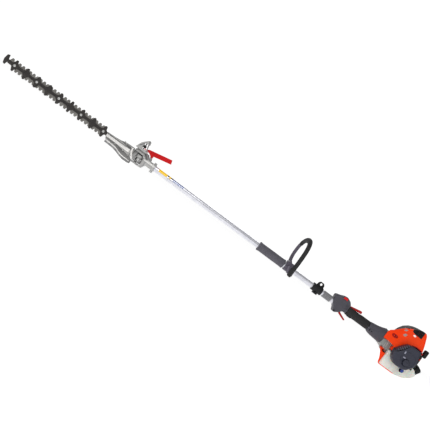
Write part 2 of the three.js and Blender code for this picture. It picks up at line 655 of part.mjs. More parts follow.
function muffler() {
  const shell = slab([[1006, 42], [1006, 66], [1014, 78], [1032, 96], [1074, 96], [1082, 88], [1082, 42]], 37, 76, 2);
  const chamber = slab([[1009, 45], [1009, 65], [1016, 76], [1033, 93], [1073, 93], [1079, 87], [1079, 45]], 40, 73);
  return cut(shell, chamber, rod(X, [1076, 62, 60], 20, 6), rod(Y, [1020, 30, 60], 15, 7));
}

const MUFFLER_GUARD = [[996, 38.5], [999, 62], [1007, 82], [1020, 102], [1040, 118], [1060, 127], [1080, 132],
  [1094, 132], [1100, 124], [1100, 38.5]];

function mufflerGuard() {
  const outer = slab(MUFFLER_GUARD, 36.4, 92, 3);
  const inner = slab([[999, 20], [1002, 62], [1010, 81], [1022, 99], [1041, 115], [1061, 124], [1080, 129],
    [1092, 129], [1097, 123], [1097, 20]], 30, 89);
  const slots = [];
  for (let z = 50; z < 116; z += 11) slots.push(box(1030, 1088, 80, 100, z, z + 5));
  const outlet = rod(X, [1090, 62, 60], 20, 6, 6, 16);
  return cut(outer, inner, outlet, ...slots);
}

// The tank's front slants back towards the exhaust side, and the front guard lies along it.
const TANK_FRONT = { x: 967, y: -52, slant: 0.44 };

function tankPlan(shrink) {
  const half = TANK_HALF - shrink;
  const frontAt = (y) => TANK_FRONT.x + TANK_FRONT.slant * (y - TANK_FRONT.y) + shrink;
  return plan([[frontAt(-half + 8), -half + 8], [975 + shrink, -half], [1085, -half], [1122 - shrink, -half + 16],
    [1147 - shrink, -26], [1147 - shrink, 26], [1122 - shrink, half - 16], [1085, half], [frontAt(half), half]],
  -110, -10);
}

const TANK = [[967, -97], [976, -102], [1048, -102], [1075, -96], [1098, -88], [1120, -76], [1137, -63], [1146, -52],
  [1119, -34], [1105, -30], [1103, -44], [985, -44], [985, -52], [967, -52]];
const TANK_INSIDE = [[970, -94], [978, -99], [1047, -99], [1073, -93], [1096, -85], [1118, -73], [1134, -61],
  [1141, -52.5], [1118, -37.5], [1108, -34], [1106, -47], [988, -47], [988, -55], [970, -55]];
const CAP_LEAN = THREE.MathUtils.degToRad(33.7);
const CAP_SEAT = new THREE.Vector3(1132, -4, -42.7);

function tank() {
  const skin = common(slab(TANK, -TANK_HALF, TANK_HALF), tankPlan(0));
  const hollow = common(slab(TANK_INSIDE, -TANK_HALF + 3, TANK_HALF - 3), tankPlan(3));
  const neck = rod(Z, [0, 0, -3], 14, 13, 13, 16);
  const throat = rod(Z, [0, 0, -20], 40, 10.5, 10.5, 16);
  [neck, throat].forEach((part) => part.rotateY(CAP_LEAN).translate(...CAP_SEAT));
  return cut(join(cut(skin, hollow), neck), throat);
}

function fuelCap() {
  const flutes = [];
  for (let i = 0; i < 16; i += 1) {
    const turn = (i * Math.PI) / 8;
    flutes.push(rod(Z, [20.2 * Math.cos(turn), 20.2 * Math.sin(turn), 4], 40, 1.5, 1.5, 6));
  }
  const neckRoom = rod(Z, [0, 0, -1], 13, 13 + GAP, 13 + GAP, 16);
  return cut(rod(Z, [0, 0, 1.2], 32, 20, 18.5, 20), neckRoom, ...flutes);
}

const GUARD_Y = [-52, 26];

function slanted(geometry) {
  const { slant, y } = TANK_FRONT;
  const shear = new THREE.Matrix4().set(1, slant, 0, -slant * y, 0, 1, 0, 0, 0, 0, 1, 0, 0, 0, 0, 1);
  return geometry.applyMatrix4(shear);
}

function frontGuard() {
  const [near, far] = GUARD_Y;
  const outer = slab([[928, -37], [942, -54], [954, -76], [961, -98], [966.6, -98], [966.6, -49.4], [957.5, -38.6],
    [952, -37.4], [943, -34]], near, far, 1);
  const inner = slab([[940, -43], [946, -54], [958, -78], [963, -92], [980, -92], [980, -49.4], [957, -40.5],
    [950, -40.5]], near + 3, far - 3);
  const housingRoom = slab([[929, -28], [929, 20], [986, 20], [986, -48.6], [967.6, -48.6], [957.6, -38.6],
    [944.8, -33.6]], -34.3, 34.3);
  return cut(slanted(outer), slanted(inner), housingRoom);
}

function carburettor() {
  return join(
    box(1022, 1054, -70, -42, -2, 30),
    box(1026, 1046, -42.5, -36.6, 4, 20),
    rod(Y, [1038, -76, 14], 8, 10, 10, 20),
  );
}

const FILTER = [[966, -6], [968, -33], [976, -48], [988, -58], [1005, -64], [1048, -62], [1062, -55], [1072, -43],
  [1082, -30], [1086, -6], [1080, 14], [1071, 46], [1030, 47], [1008, 42], [992, 28], [978, 10]];
const FILTER_INSIDE = [[969, -7], [971, -32], [978, -45], [990, -54], [1006, -60], [1047, -58], [1060, -52],
  [1069, -41], [1078, -28], [1082, -6], [1077, 12], [1068, 42], [1031, 43], [1010, 38], [995, 26], [981, 9]];

function filterCover() {
  const outer = slab(FILTER, -98, -66, 4);
  const inner = slab(FILTER_INSIDE, -94, -50);
  const vents = [];
  for (let i = 0; i < 4; i += 1) {
    const vent = box(-11, 11, -110, -90, -1.7, 1.7);
    vents.push(vent.rotateY(0.45).translate(1006 + i * 6, 0, 30 - i * 9));
  }
  return cut(outer, inner, ...vents, rod(Y, [1040, -110, -29], 20, 4.5, 4.5, 16));
}

function filterBase() {
  const plate = slab(FILTER_INSIDE, -65.7, -62);
  const arm = box(1054, 1070, -65.7, -62, -76, -50);
  const seat = rod(Y, [1062, -67.5, -67], 7, 10, 10, 20);
  const bulbRoom = rod(Y, [1062, -70, -67], 8.5, 6.4, 6.4, 20);
  return cut(join(plate, arm, seat), box(1021.7, 1054.3, -71, -50, -2.3, 30.3), bulbRoom);
}

function filterElement() {
  const frame = slab([[982, -44], [982, 2], [994, 18], [1012, 30], [1060, 30], [1066, -40]], -90, -78, 1);
  return cut(frame, rod(Y, [1040, -100, -29], 40, 8, 8, 20));
}

function filterKnob() {
  const knob = rod(Y, [1040, -103.5, -29], 5.2, 13, 14, 20);
  const grip = box(1028.5, 1051.5, -106.5, -103, -31.5, -26.5);
  return join(knob, grip, rod(Y, [1040, -99, -29], 8, 4, 4, 16));
}

function primerBulb() {
  const dome = [];
  for (let i = 0; i <= 4; i += 1) {
    const turn = (i * Math.PI) / 8;
    dome.push([6 * Math.cos(turn), 5 * Math.sin(turn)]);
  }
  return turned([[0, -1], [6, -1], ...dome], 0, 0, 20).rotateX(Math.PI / 2).translate(1062, -66.5, -67);
}

function chokeLever() {
  const arm = slab([[1080, 34], [1080, 42], [1090, 38], [1103, 24], [1101, 15], [1090, 24]], -60, -56, 1);
  return join(arm, rod(Y, [1084, -56.5, 38], 10, 3, 3, 14));
}

function flywheel() {
  const vanes = [];
  for (let i = 0; i < 10; i += 1) {
    const vane = box(1064, 1074, -1.2, 1.2, 13, 20);
    vanes.push(vane.rotateX((i * Math.PI) / 5));
  }
  const disc = rod(X, [1060, 0, 0], 6, 33, 33, 20);
  const hub = rod(X, [1060, 0, 0], 14, 14, 14, 20);
  return cut(join(disc, hub, ...vanes), rod(X, [1050, 0, 0], 40, 8.2, 8.2, 20));
}

const ROPE = { y: -14, z: 44, start: 1055 };

function starterHousing() {
  const outer = slab([[1058, -40], [1058, 38], [1100, 38], [1112, 34], [1114, 28], [1114, -26], [1104, -28],
    [1099, -40]], -46, 46, 3);
  const wheelRoom = rod(X, [1050, 0, 0], 42, 35.5, 35.5, 20);
  const pulleyRoom = rod(X, [1070, 0, 0], 41, 25, 25, 20);
  const vents = [];
  for (let i = 0; i < 12; i += 1) {
    vents.push(box(1100, 1120, -1.5, 1.5, 12, 22).rotateX((i * Math.PI) / 6));
  }
  const ropeGuide = box(1096, 1113, ROPE.y - 6, ROPE.y + 6, 34, ROPE.z + 6);
  const ropeBore = rod(X, [1090, ROPE.y, ROPE.z], 40, 2.3);
  return cut(join(cut(outer, wheelRoom, pulleyRoom, ...vents), ropeGuide), ropeBore);
}

function starterPulley() {
  const rims = [1094, 1100].map((x) => rod(X, [x, 0, 0], 2, 23, 23, 20));
  return cut(join(...rims, rod(X, [1094, 0, 0], 8, 19, 19, 20)), rod(X, [1090, 0, 0], 30, 8.4, 8.4, 20));
}

const GRIP_X = 1119;

function starterGrip() {
  const body = slab([[GRIP_X, 34], [GRIP_X, 66], [GRIP_X + 4, 70], [GRIP_X + 14, 70], [GRIP_X + 18, 66],
    [GRIP_X + 18, 38], [GRIP_X + 14, 34]], -26, -2, 2);
  const rope = rod(X, [ROPE.start, ROPE.y, ROPE.z], GRIP_X + 4 - ROPE.start, 1.7, 1.7, 8);
  return cut(join(body, rope), rod(Y, [GRIP_X + 10, -40, 61], 60, 3.5, 3.5, 14));
}

function clutch(group) {
  piece(group, 'clutch_cone', clutchCone(), 'darkGrey');
  piece(group, 'clutch_drum', clutchDrum(), 'steel');
  piece(group, 'clutch_shoes', clutchShoes(), 'steel');
  piece(group, 'clutch_housing', clutchHousing(), 'castGrey');
}

function engine(group) {
  piece(group, 'crankcase', crankcase(), 'alloy');
  piece(group, 'crankshaft', crankshaft(), 'steel');
  piece(group, 'piston', piston(), 'alloy');
  piece(group, 'cylinder', cylinder(), 'alloy');
  piece(group, 'spark_plug', sparkPlug(), 'steel');
  piece(group, 'muffler', muffler(), 'steel');
  piece(group, 'muffler_guard', mufflerGuard(), 'black');
}

function covers(group) {
  piece(group, 'cylinder_cover', cylinderCover(), 'orange');
  piece(group, 'cover_grille', coverGrille(), 'black');
  piece(group, 'front_guard', frontGuard(), 'orange');
}

function fuelSystem(group) {
  piece(group, 'fuel_tank', tank(), 'tank');
  const cap = piece(group, 'fuel_cap', fuelCap(), 'rubber');
  cap.position.copy(CAP_SEAT);
  cap.rotation.y = CAP_LEAN;
  piece(group, 'carburettor', carburettor(), 'alloy');
  piece(group, 'filter_base', filterBase(), 'black');
  piece(group, 'filter_element', filterElement(), 'filter');
  piece(group, 'filter_cover', filterCover(), 'coverGrey');
  piece(group, 'filter_knob', filterKnob(), 'coverGrey');
  piece(group, 'primer_bulb', primerBulb(), 'blue');
  piece(group, 'choke_lever', chokeLever(), 'red');
}

function starter(group) {
  piece(group, 'flywheel', flywheel(), 'alloy');
  piece(group, 'starter_housing', starterHousing(), 'black');
  piece(group, 'starter_pulley', starterPulley(), 'black');
  piece(group, 'starter_grip', starterGrip(), 'black');
}

[cutterHead, pole, controlHandle, clutch, engine, covers, fuelSystem, starter].forEach((build) => build(onShaft));

export default machine;
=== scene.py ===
"""Petrol pole hedge trimmer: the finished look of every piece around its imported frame."""

from __future__ import annotations

import logging
import math
from dataclasses import dataclass
from enum import Enum
from typing import Callable, Iterable, Sequence

import bmesh
import bpy
from mathutils import Matrix, Vector


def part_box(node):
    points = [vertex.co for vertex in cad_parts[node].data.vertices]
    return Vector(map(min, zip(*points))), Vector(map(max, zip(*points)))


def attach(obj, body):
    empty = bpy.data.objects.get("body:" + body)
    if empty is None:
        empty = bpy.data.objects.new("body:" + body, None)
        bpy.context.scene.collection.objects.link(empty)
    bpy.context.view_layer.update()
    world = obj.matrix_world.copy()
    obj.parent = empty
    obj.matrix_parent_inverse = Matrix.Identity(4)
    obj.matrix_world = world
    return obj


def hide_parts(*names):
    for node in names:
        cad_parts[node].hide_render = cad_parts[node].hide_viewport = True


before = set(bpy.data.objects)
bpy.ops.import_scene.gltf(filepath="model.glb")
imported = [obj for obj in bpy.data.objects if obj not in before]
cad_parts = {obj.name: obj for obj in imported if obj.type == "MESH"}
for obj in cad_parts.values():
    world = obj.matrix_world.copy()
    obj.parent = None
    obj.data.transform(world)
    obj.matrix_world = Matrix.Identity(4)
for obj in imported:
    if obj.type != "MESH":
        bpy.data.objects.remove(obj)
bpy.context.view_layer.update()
LOG = logging.getLogger("hedge_trimmer")

Point = Sequence[float]
Outline = Sequence[Sequence[float]]
MM = 0.001
SHAFT_AHEAD = 398 * MM


class Axis(Enum):
    """The three directions of the machine: along the shaft, across it and up."""

    X = 0
    Y = 1
    Z = 2


def shaft_origin() -> Vector:
    """Finds the point that all sizes below are measured from.

    Returns:
        The place on the shaft's axis, in metres, that lies 398 mm behind the front end of the tube.
    """
    low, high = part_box("shaft_tube")
    return Vector((low.x + SHAFT_AHEAD, (low.y + high.y) / 2, (low.z + high.z) / 2))


ORIGIN = shaft_origin()


def srgb(red: int, green: int, blue: int) -> tuple[float, float, float, float]:
    """Turns a display colour into the linear colour that a shader takes.

    Args:
        red: Red from 0 to 255.
        green: Green from 0 to 255.
        blue: Blue from 0 to 255.

    Returns:
        The linear colour with full opacity.
    """

    def linear(level: int) -> float:
        share = level / 255
        return share / 12.92 if share <= 0.04045 else ((share + 0.055) / 1.055) ** 2.4

    return (linear(red), linear(green), linear(blue), 1.0)


# ---------------------------------------------------------------- outlines


def fillet(outline: Outline, radius: float | Sequence[float], steps: int = 5) -> list[tuple[float, float]]:
    """Rounds the corners of a closed outline.

    Args:
        outline: The corners in order.
        radius: One radius for all corners, or one for each.
        steps: How many stretches each rounding has.

    Returns:
        The outline with an arc at each corner.
    """
    count = len(outline)
    radii = [radius] * count if isinstance(radius, (int, float)) else list(radius)
    rounded: list[tuple[float, float]] = []
    for i, corner in enumerate(outline):
        here = Vector(corner)
        back = Vector(outline[i - 1]) - here
        ahead = Vector(outline[(i + 1) % count]) - here
        reach = max(0.01, min(radii[i], back.length * 0.48, ahead.length * 0.48))
        start = here + back.normalized() * reach
        end = here + ahead.normalized() * reach
        for step in range(steps + 1):
            t = step / steps
            spot = start * (1 - t) ** 2 + here * (2 * t * (1 - t)) + end * t**2
            rounded.append((spot.x, spot.y))
    return rounded


def inset(outline: Outline, amount: float) -> list[tuple[float, float]]:
    """Moves the edges of a closed outline inwards.

    Args:
        outline: The corners in order.
        amount: How far the edges move.

    Returns:
        The smaller outline with as many corners.
    """
    count = len(outline)
    spots = [Vector(p) for p in outline]
    area = sum(a.x * b.y - b.x * a.y for a, b in zip(spots, spots[1:] + spots[:1]))
    side = 1 if area > 0 else -1
    ways = [(spots[(i + 1) % count] - spots[i]).normalized() for i in range(count)]
    moved: list[tuple[float, float]] = []
    for i in range(count):
        before, after = ways[i - 1], ways[i]
        normal_before = Vector((-before.y, before.x)) * side
        normal_after = Vector((-after.y, after.x)) * side
        cross = before.x * after.y - before.y * after.x
        first = spots[i] + normal_before * amount
        second = spots[i] + normal_after * amount
        if abs(cross) < 0.02:
            place = (first + second) / 2
        else:
            gap = second - first
            place = first + before * ((gap.x * after.y - gap.y * after.x) / cross)
        moved.append((place.x, place.y))
    return moved


def circle(
    radius: float, steps: int = 32, centre: Point = (0.0, 0.0), flat: float = 1.0
) -> list[tuple[float, float]]:
    """Draws a circle or an ellipse as a closed outline.

    Args:
        radius: The radius along the first direction.
        steps: The number of points.
        centre: The middle.
        flat: The second radius as a share of the first.

    Returns:
        The outline's points.
    """
    turns = [2 * math.pi * i / steps for i in range(steps)]
    return [(centre[0] + radius * math.cos(a), centre[1] + radius * flat * math.sin(a)) for a in turns]


def spline(points: Sequence[Point], steps: int = 8) -> list[Vector]:
    """Passes a smooth curve through the given points.

    Args:
        points: The points, in two or three dimensions.
        steps: The number of stretches between two points.

    Returns:
        The points of the curve.
    """
    knots = [Vector(p) for p in points]
    count = len(knots)
    curve: list[Vector] = []
    for i in range(count - 1):
        p1, p2 = knots[i], knots[i + 1]
        p0 = knots[i - 1] if i > 0 else p1 * 2 - p2
        p3 = knots[i + 2] if i + 2 < count else p2 * 2 - p1
        for step in range(steps):
            t = step / steps
            square = p0 * 2 - p1 * 5 + p2 * 4 - p3
            cube = p1 * 3 - p0 - p2 * 3 + p3
            curve.append((p1 * 2 + (p2 - p0) * t + square * t**2 + cube * t**3) / 2)
    curve.append(knots[-1])
    return curve


# ---------------------------------------------------------------- solids


class Solid:
    """A closed shape in millimetres from the shaft's origin, which can be cut, joined and rounded."""

    def __init__(self, mesh: bmesh.types.BMesh) -> None:
        """Keeps the mesh and turns its faces outwards.

        Args:
            mesh: The shape's mesh.
        """
        self.mesh = mesh
        bmesh.ops.recalc_face_normals(mesh, faces=mesh.faces)

    @staticmethod
    def prism(outline: Outline, low: float, high: float, across: Axis = Axis.Y) -> "Solid":
        """Gives an outline a thickness.

        Args:
            outline: The points in the plane square to the axis, in the order x, y, z of what is left.
            low: Where the thickness starts.
            high: Where it ends.
            across: The axis of the thickness.

        Returns:
            The solid.
        """
        mesh = bmesh.new()
        rings = []
        for level in (low, high):
            ring = []
            for a, b in outline:
                place = {Axis.X: (level, a, b), Axis.Y: (a, level, b), Axis.Z: (a, b, level)}[across]
                ring.append(mesh.verts.new(place))
            rings.append(ring)
        count = len(outline)
        for i in range(count):
            j = (i + 1) % count
            mesh.faces.new((rings[0][i], rings[0][j], rings[1][j], rings[1][i]))
        mesh.faces.new(rings[0])
        mesh.faces.new(rings[1])
        return Solid(mesh)

    @staticmethod
    def block(low: Point, high: Point) -> "Solid":
        """Makes a box between two corners."""
        outline = [(low[0], low[2]), (high[0], low[2]), (high[0], high[2]), (low[0], high[2])]
        return Solid.prism(outline, low[1], high[1])

    @staticmethod
    def loft(rings: Sequence[Sequence[Point]], caps: bool = True, closed: bool = False) -> "Solid":
        """Skins a row of rings that have the same number of points.

        Args:
            rings: The rings in order, each a closed row of points.
            caps: Whether the first and last ring are filled.
            closed: Whether the last ring joins the first.

        Returns:
            The solid.
        """
        mesh = bmesh.new()
        rows = [[mesh.verts.new(p) for p in ring] for ring in rings]
        count = len(rows[0])
        pairs = list(zip(rows, rows[1:])) + ([(rows[-1], rows[0])] if closed else [])
        for first, second in pairs:
            for i in range(count):
                j = (i + 1) % count
                mesh.faces.new((first[i], first[j], second[j], second[i]))
        if caps and not closed:
            mesh.faces.new(rows[0])
            mesh.faces.new(rows[-1])
        return Solid(mesh)

    @staticmethod
    def turned(
        profile: Outline, axis: Axis = Axis.X, centre: Point = (0, 0, 0), steps: int = 48, wide: float = 1.0
    ) -> "Solid":
        """Turns a profile of (place along the axis, radius) pairs about an axis.

        Args:
            profile: The pairs, from one end to the other; a ring's profile comes back to its start.
            axis: The axis.
            centre: A point on the axis.
            steps: The number of points round.
            wide: The first crosswise radius as a share of the second.

        Returns:
            The solid.
        """
        ring_shaped = profile[0] == profile[-1]
        pairs = profile[:-1] if ring_shaped else profile
        rings = []
        for along, radius in pairs:
            ring = []
            for i in range(steps):
                turn = 2 * math.pi * i / steps
                a, b = max(radius, 0.01) * math.cos(turn) * wide, max(radius, 0.01) * math.sin(turn)
                local = {Axis.X: (along, a, b), Axis.Y: (a, along, b), Axis.Z: (a, b, along)}[axis]
                ring.append(tuple(c + v for c, v in zip(centre, local)))
            rings.append(ring)
        return Solid.loft(rings, closed=ring_shaped)

    @staticmethod
    def rod(
        axis: Axis, start: Point, length: float, radius: float, end: float | None = None, steps: int = 32
    ) -> "Solid":
        """Makes a round bar from a start point along an axis."""
        last = radius if end is None else end
        return Solid.turned([(0, radius), (length, last)], axis, start, steps)

    @staticmethod
    def pillow(
        outline: Outline,
        low: float,
        high: float,
        near: float,
        far: float,
        steps: int = 5,
        corner: float = 0,
    ) -> "Solid":
        """Gives a side outline a width whose two faces roll over into its edge.

        Args:
            outline: The side outline in (x, z).
            low: The near face's y.
            high: The far face's y.
            near: The rolling radius at the near face.
            far: The rolling radius at the far face.
            steps: The number of stretches of each roll.
            corner: How round the outline's corners are; the outline is then a coarse one.

        Returns:
            The solid.
        """
        turns = [math.pi / 2 * i / steps for i in range(steps + 1)]
        levels = [(low + near * (1 - math.cos(t)), near * (1 - math.sin(t))) for t in turns]
        levels += [(high - far * (1 - math.cos(t)), far * (1 - math.sin(t))) for t in reversed(turns)]
        rings = []
        for y, edge in levels:
            ring = inset(outline, edge)
            if corner:
                ring = fillet(ring, max(corner - edge * 0.4, corner * 0.3), 5)
            rings.append([(x, y, z) for x, z in ring])
        return Solid.loft(rings)

    @staticmethod
    def together(*parts: "Solid") -> "Solid":
        """Puts separate solids in one mesh."""
        mesh = bmesh.new()
        for part in parts:
            data = bpy.data.meshes.new("work")
            part.mesh.to_mesh(data)
            mesh.from_mesh(data)
            bpy.data.meshes.remove(data)
        return Solid(mesh)

    def moved(self, x: float = 0, y: float = 0, z: float = 0) -> "Solid":
        """Returns the shape after moving it."""
        bmesh.ops.translate(self.mesh, vec=(x, y, z), verts=self.mesh.verts)
        return self

    def rotated(self, axis: Axis, degrees: float, centre: Point = (0, 0, 0)) -> "Solid":
        """Turns the shape about an axis through a centre.

        Args:
            axis: The axis.
            degrees: The angle by the right-hand rule.
            centre: A point on the axis.

        Returns:
            The turned shape.
        """
        turn = Matrix.Rotation(math.radians(degrees), 3, axis.name)
        bmesh.ops.rotate(self.mesh, cent=centre, matrix=turn, verts=self.mesh.verts)
        return self

    def shaped(self, rule: Callable[[Vector], Vector]) -> "Solid":
        """Divides the faces into triangles, which stay flat, and moves every point by a rule.

        Args:
            rule: Gives a point's new place.

        Returns:
            The changed shape.
        """
        bmesh.ops.triangulate(self.mesh, faces=self.mesh.faces)
        for vert in self.mesh.verts:
            vert.co = rule(vert.co.copy())
        bmesh.ops.recalc_face_normals(self.mesh, faces=self.mesh.faces)
        return self

    def sliced(self, axis: Axis, start: float, end: float, step: float) -> "Solid":
        """Divides the faces at even steps, so that the shape can be bent.

        Args:
            axis: The axis that the steps follow.
            start: The first division.
            end: No division is made from here on.
            step: The distance between two divisions.

        Returns:
            The divided shape.
        """
        way = Vector([1.0 if other is axis else 0.0 for other in Axis])
        for i in range(math.ceil((end - start) / step)):
            parts = [*self.mesh.verts, *self.mesh.edges, *self.mesh.faces]
            place = way * (start + i * step)
            bmesh.ops.bisect_plane(self.mesh, geom=parts, dist=0.001, plane_co=place, plane_no=way)
        return self

    def _temporary(self) -> bpy.types.Object:
        """Puts the mesh in a temporary object."""
        data = bpy.data.meshes.new("work")
        self.mesh.to_mesh(data)
        thing = bpy.data.objects.new("work", data)
        bpy.context.scene.collection.objects.link(thing)
        return thing

    def _evaluated(self, thing: bpy.types.Object) -> "Solid":
        """Reads the mesh after its modifiers and removes the temporary object.

        Args:
            thing: The temporary object.

        Returns:
            The new solid.
        """
        depsgraph = bpy.context.evaluated_depsgraph_get()
        data = bpy.data.meshes.new_from_object(thing.evaluated_get(depsgraph))
        mesh = bmesh.new()
        mesh.from_mesh(data)
        old = thing.data
        bpy.data.objects.remove(thing)
        bpy.data.meshes.remove(old)
        bpy.data.meshes.remove(data)
        return Solid(mesh)

    def _boolean(self, others: Iterable["Solid"], operation: str) -> "Solid":
        """Joins or cuts the shape with others.

        Args:
            others: The other solids.
            operation: The Boolean modifier's operation.

        Returns:
            The result.
        """
        thing = self._temporary()
        tools = [other._temporary() for other in others]
        for tool in tools:
            modifier = thing.modifiers.new("cut", "BOOLEAN")
            modifier.operation = operation
            modifier.solver = "EXACT"
            modifier.object = tool
        result = self._evaluated(thing)
        for tool in tools:
            data = tool.data
            bpy.data.objects.remove(tool)
            bpy.data.meshes.remove(data)
        return result

    def cut(self, *others: "Solid") -> "Solid":
        """Returns the shape less the others."""
        return self._boolean(others, "DIFFERENCE")

    def joined(self, *others: "Solid") -> "Solid":
        """Returns the shape united with the others."""
        return self._boolean(others, "UNION")

    def common(self, other: "Solid") -> "Solid":
        """Returns what the shape shares with another."""
        return self._boolean([other], "INTERSECT")

    def rounded(self, width: float, segments: int = 3, angle: float = 32) -> "Solid":
        """Rounds the sharp edges.

        Args:
            width: The rounding's size.
            segments: How many faces each rounding has.
            angle: Edges sharper than this many degrees are rounded.

        Returns:
            The rounded shape.
        """
        bmesh.ops.remove_doubles(self.mesh, verts=self.mesh.verts, dist=0.002)
        flat = math.radians(1.5)
        bmesh.ops.dissolve_limit(self.mesh, angle_limit=flat, verts=self.mesh.verts, edges=self.mesh.edges)
        thing = self._temporary()
        modifier = thing.modifiers.new("round", "BEVEL")
        modifier.width = width
        modifier.segments = segments
        modifier.limit_method = "ANGLE"
        modifier.angle_limit = math.radians(angle)
        modifier.use_clamp_overlap = True
        modifier.miter_outer = "MITER_ARC"
        return self._evaluated(thing)

    def object(self, name: str, sharp: float = 38) -> bpy.types.Object:
        """Makes the finished object, in metres, at its place in the frame.

        Args:
            name: The object's name.
            sharp: Edges sharper than this many degrees keep a hard line.

        Returns:
            The object.
        """
        bmesh.ops.remove_doubles(self.mesh, verts=self.mesh.verts, dist=0.002)
        bmesh.ops.dissolve_degenerate(self.mesh, dist=0.002, edges=self.mesh.edges)
        data = bpy.data.meshes.new(name)
        self.mesh.to_mesh(data)
        data.transform(Matrix.Translation(ORIGIN) @ Matrix.Scale(MM, 4))
        data.shade_smooth()
        data.set_sharp_from_angle(angle=math.radians(sharp))
        thing = bpy.data.objects.new(name, data)
        bpy.context.scene.collection.objects.link(thing)
        return thing

    @staticmethod
    def of_node(node: str) -> "Solid":
        """Copies a frame node as a solid with its loose triangles merged.

        Args:
            node: The node's name.

        Returns:
            The solid in millimetres from the shaft's origin.
        """
        mesh = bmesh.new()
        mesh.from_mesh(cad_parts[node].data)
        place = Matrix.Scale(1 / MM, 4) @ Matrix.Translation(-ORIGIN)
        bmesh.ops.transform(mesh, matrix=place, verts=mesh.verts)
        bmesh.ops.remove_doubles(mesh, verts=mesh.verts, dist=0.003)
        return Solid(mesh)

    def repeated(
        self, count: int, step: Point = (0, 0, 0), turn: Point = (0, 0, 0), centre: Point = (0, 0, 0)
    ) -> "Solid":
        """Repeats the shape along a line or round a centre with Geometry Nodes.

        Args:
            count: How many copies.
            step: The move from one copy to the next.
            turn: The turn from one copy to the next, in degrees about each axis through the centre.
            centre: The centre of the turn.

        Returns:
            The copies as one solid.
        """
        self.moved(*(-c for c in centre))
        thing = self._temporary()
        tree = Repeat.tree()
        modifier = thing.modifiers.new("repeat", "NODES")
        modifier.node_group = tree
        values = {"Count": count, "Step": tuple(step), "Turn": tuple(math.radians(t) for t in turn)}
        for item in tree.interface.items_tree:
            if item.item_type == "SOCKET" and item.in_out == "INPUT" and item.name in values:
                modifier[item.identifier] = values[item.name]
        thing.update_tag()
        result = self._evaluated(thing)
        return result.moved(*centre)


class Repeat:
    """The Geometry Nodes tree that sets copies of a part in a row or in a ring."""

    name = "row_or_ring"

    @classmethod
    def tree(cls) -> bpy.types.GeometryNodeTree:
        """Returns the tree, which is built once."""
        ready = bpy.data.node_groups.get(cls.name)
        if ready:
            return ready
        tree = bpy.data.node_groups.new(cls.name, "GeometryNodeTree")
        face = tree.interface
        face.new_socket("Part", in_out="INPUT", socket_type="NodeSocketGeometry")
        face.new_socket("Count", in_out="INPUT", socket_type="NodeSocketInt")
        face.new_socket("Step", in_out="INPUT", socket_type="NodeSocketVector")
        face.new_socket("Turn", in_out="INPUT", socket_type="NodeSocketVector")
        face.new_socket("Finish", in_out="INPUT", socket_type="NodeSocketMaterial")
        face.new_socket("Row", in_out="OUTPUT", socket_type="NodeSocketGeometry")
        source = tree.nodes.new("NodeGroupInput")
        target = tree.nodes.new("NodeGroupOutput")
        line = tree.nodes.new("GeometryNodeMeshLine")
        line.mode = "OFFSET"
        index = tree.nodes.new("GeometryNodeInputIndex")
        scale = tree.nodes.new("ShaderNodeVectorMath")
        scale.operation = "SCALE"
        place = tree.nodes.new("GeometryNodeInstanceOnPoints")
        real = tree.nodes.new("GeometryNodeRealizeInstances")
        paint = tree.nodes.new("GeometryNodeSetMaterial")
        link = tree.links.new
        link(source.outputs["Count"], line.inputs["Count"])
        link(source.outputs["Step"], line.inputs["Offset"])
        link(source.outputs["Turn"], scale.inputs[0])
        link(index.outputs[0], scale.inputs["Scale"])
        link(line.outputs[0], place.inputs["Points"])
        link(source.outputs["Part"], place.inputs["Instance"])
        link(scale.outputs[0], place.inputs["Rotation"])
        link(place.outputs[0], real.inputs[0])
        link(real.outputs[0], paint.inputs["Geometry"])
        link(source.outputs["Finish"], paint.inputs["Material"])
        link(paint.outputs[0], target.inputs[0])
        return tree


# ---------------------------------------------------------------- finishes


class Wire:
    """A number that travels through a material's nodes and takes part in sums."""

    def __init__(self, nodes: "Nodes", socket: bpy.types.NodeSocket) -> None:
        """Keeps the socket that the number comes from."""
        self.nodes = nodes
        self.socket = socket

    def _sum(self, operation: str, first: "Wire | float", second: "Wire | float") -> "Wire":
        """Adds one Math node."""
        return self.nodes.add("ShaderNodeMath", {"operation": operation}, {0: first, 1: second})

    def __add__(self, other: "Wire | float") -> "Wire":
        """Adds."""
        return self._sum("ADD", self, other)

    def __sub__(self, other: "Wire | float") -> "Wire":
        """Subtracts."""
        return self._sum("SUBTRACT", self, other)

    def __rsub__(self, other: float) -> "Wire":
        """Subtracts from a number."""
        return self._sum("SUBTRACT", other, self)

    def __mul__(self, other: "Wire | float") -> "Wire":
        """Multiplies."""
        return self._sum("MULTIPLY", self, other)

    __radd__ = __add__
    __rmul__ = __mul__

    def above(self, level: float, soft: float) -> "Wire":
        """Gives 0 below a level and 1 above it, with a soft change.

        Args:
            level: The middle of the change.
            soft: Half its width.

        Returns:
            The mask.
        """
        settings = {"interpolation_type": "SMOOTHSTEP"}
        return self.nodes.add(
            "ShaderNodeMapRange", settings, {0: self, 1: level - soft, 2: level + soft, 3: 0.0, 4: 1.0}
        )


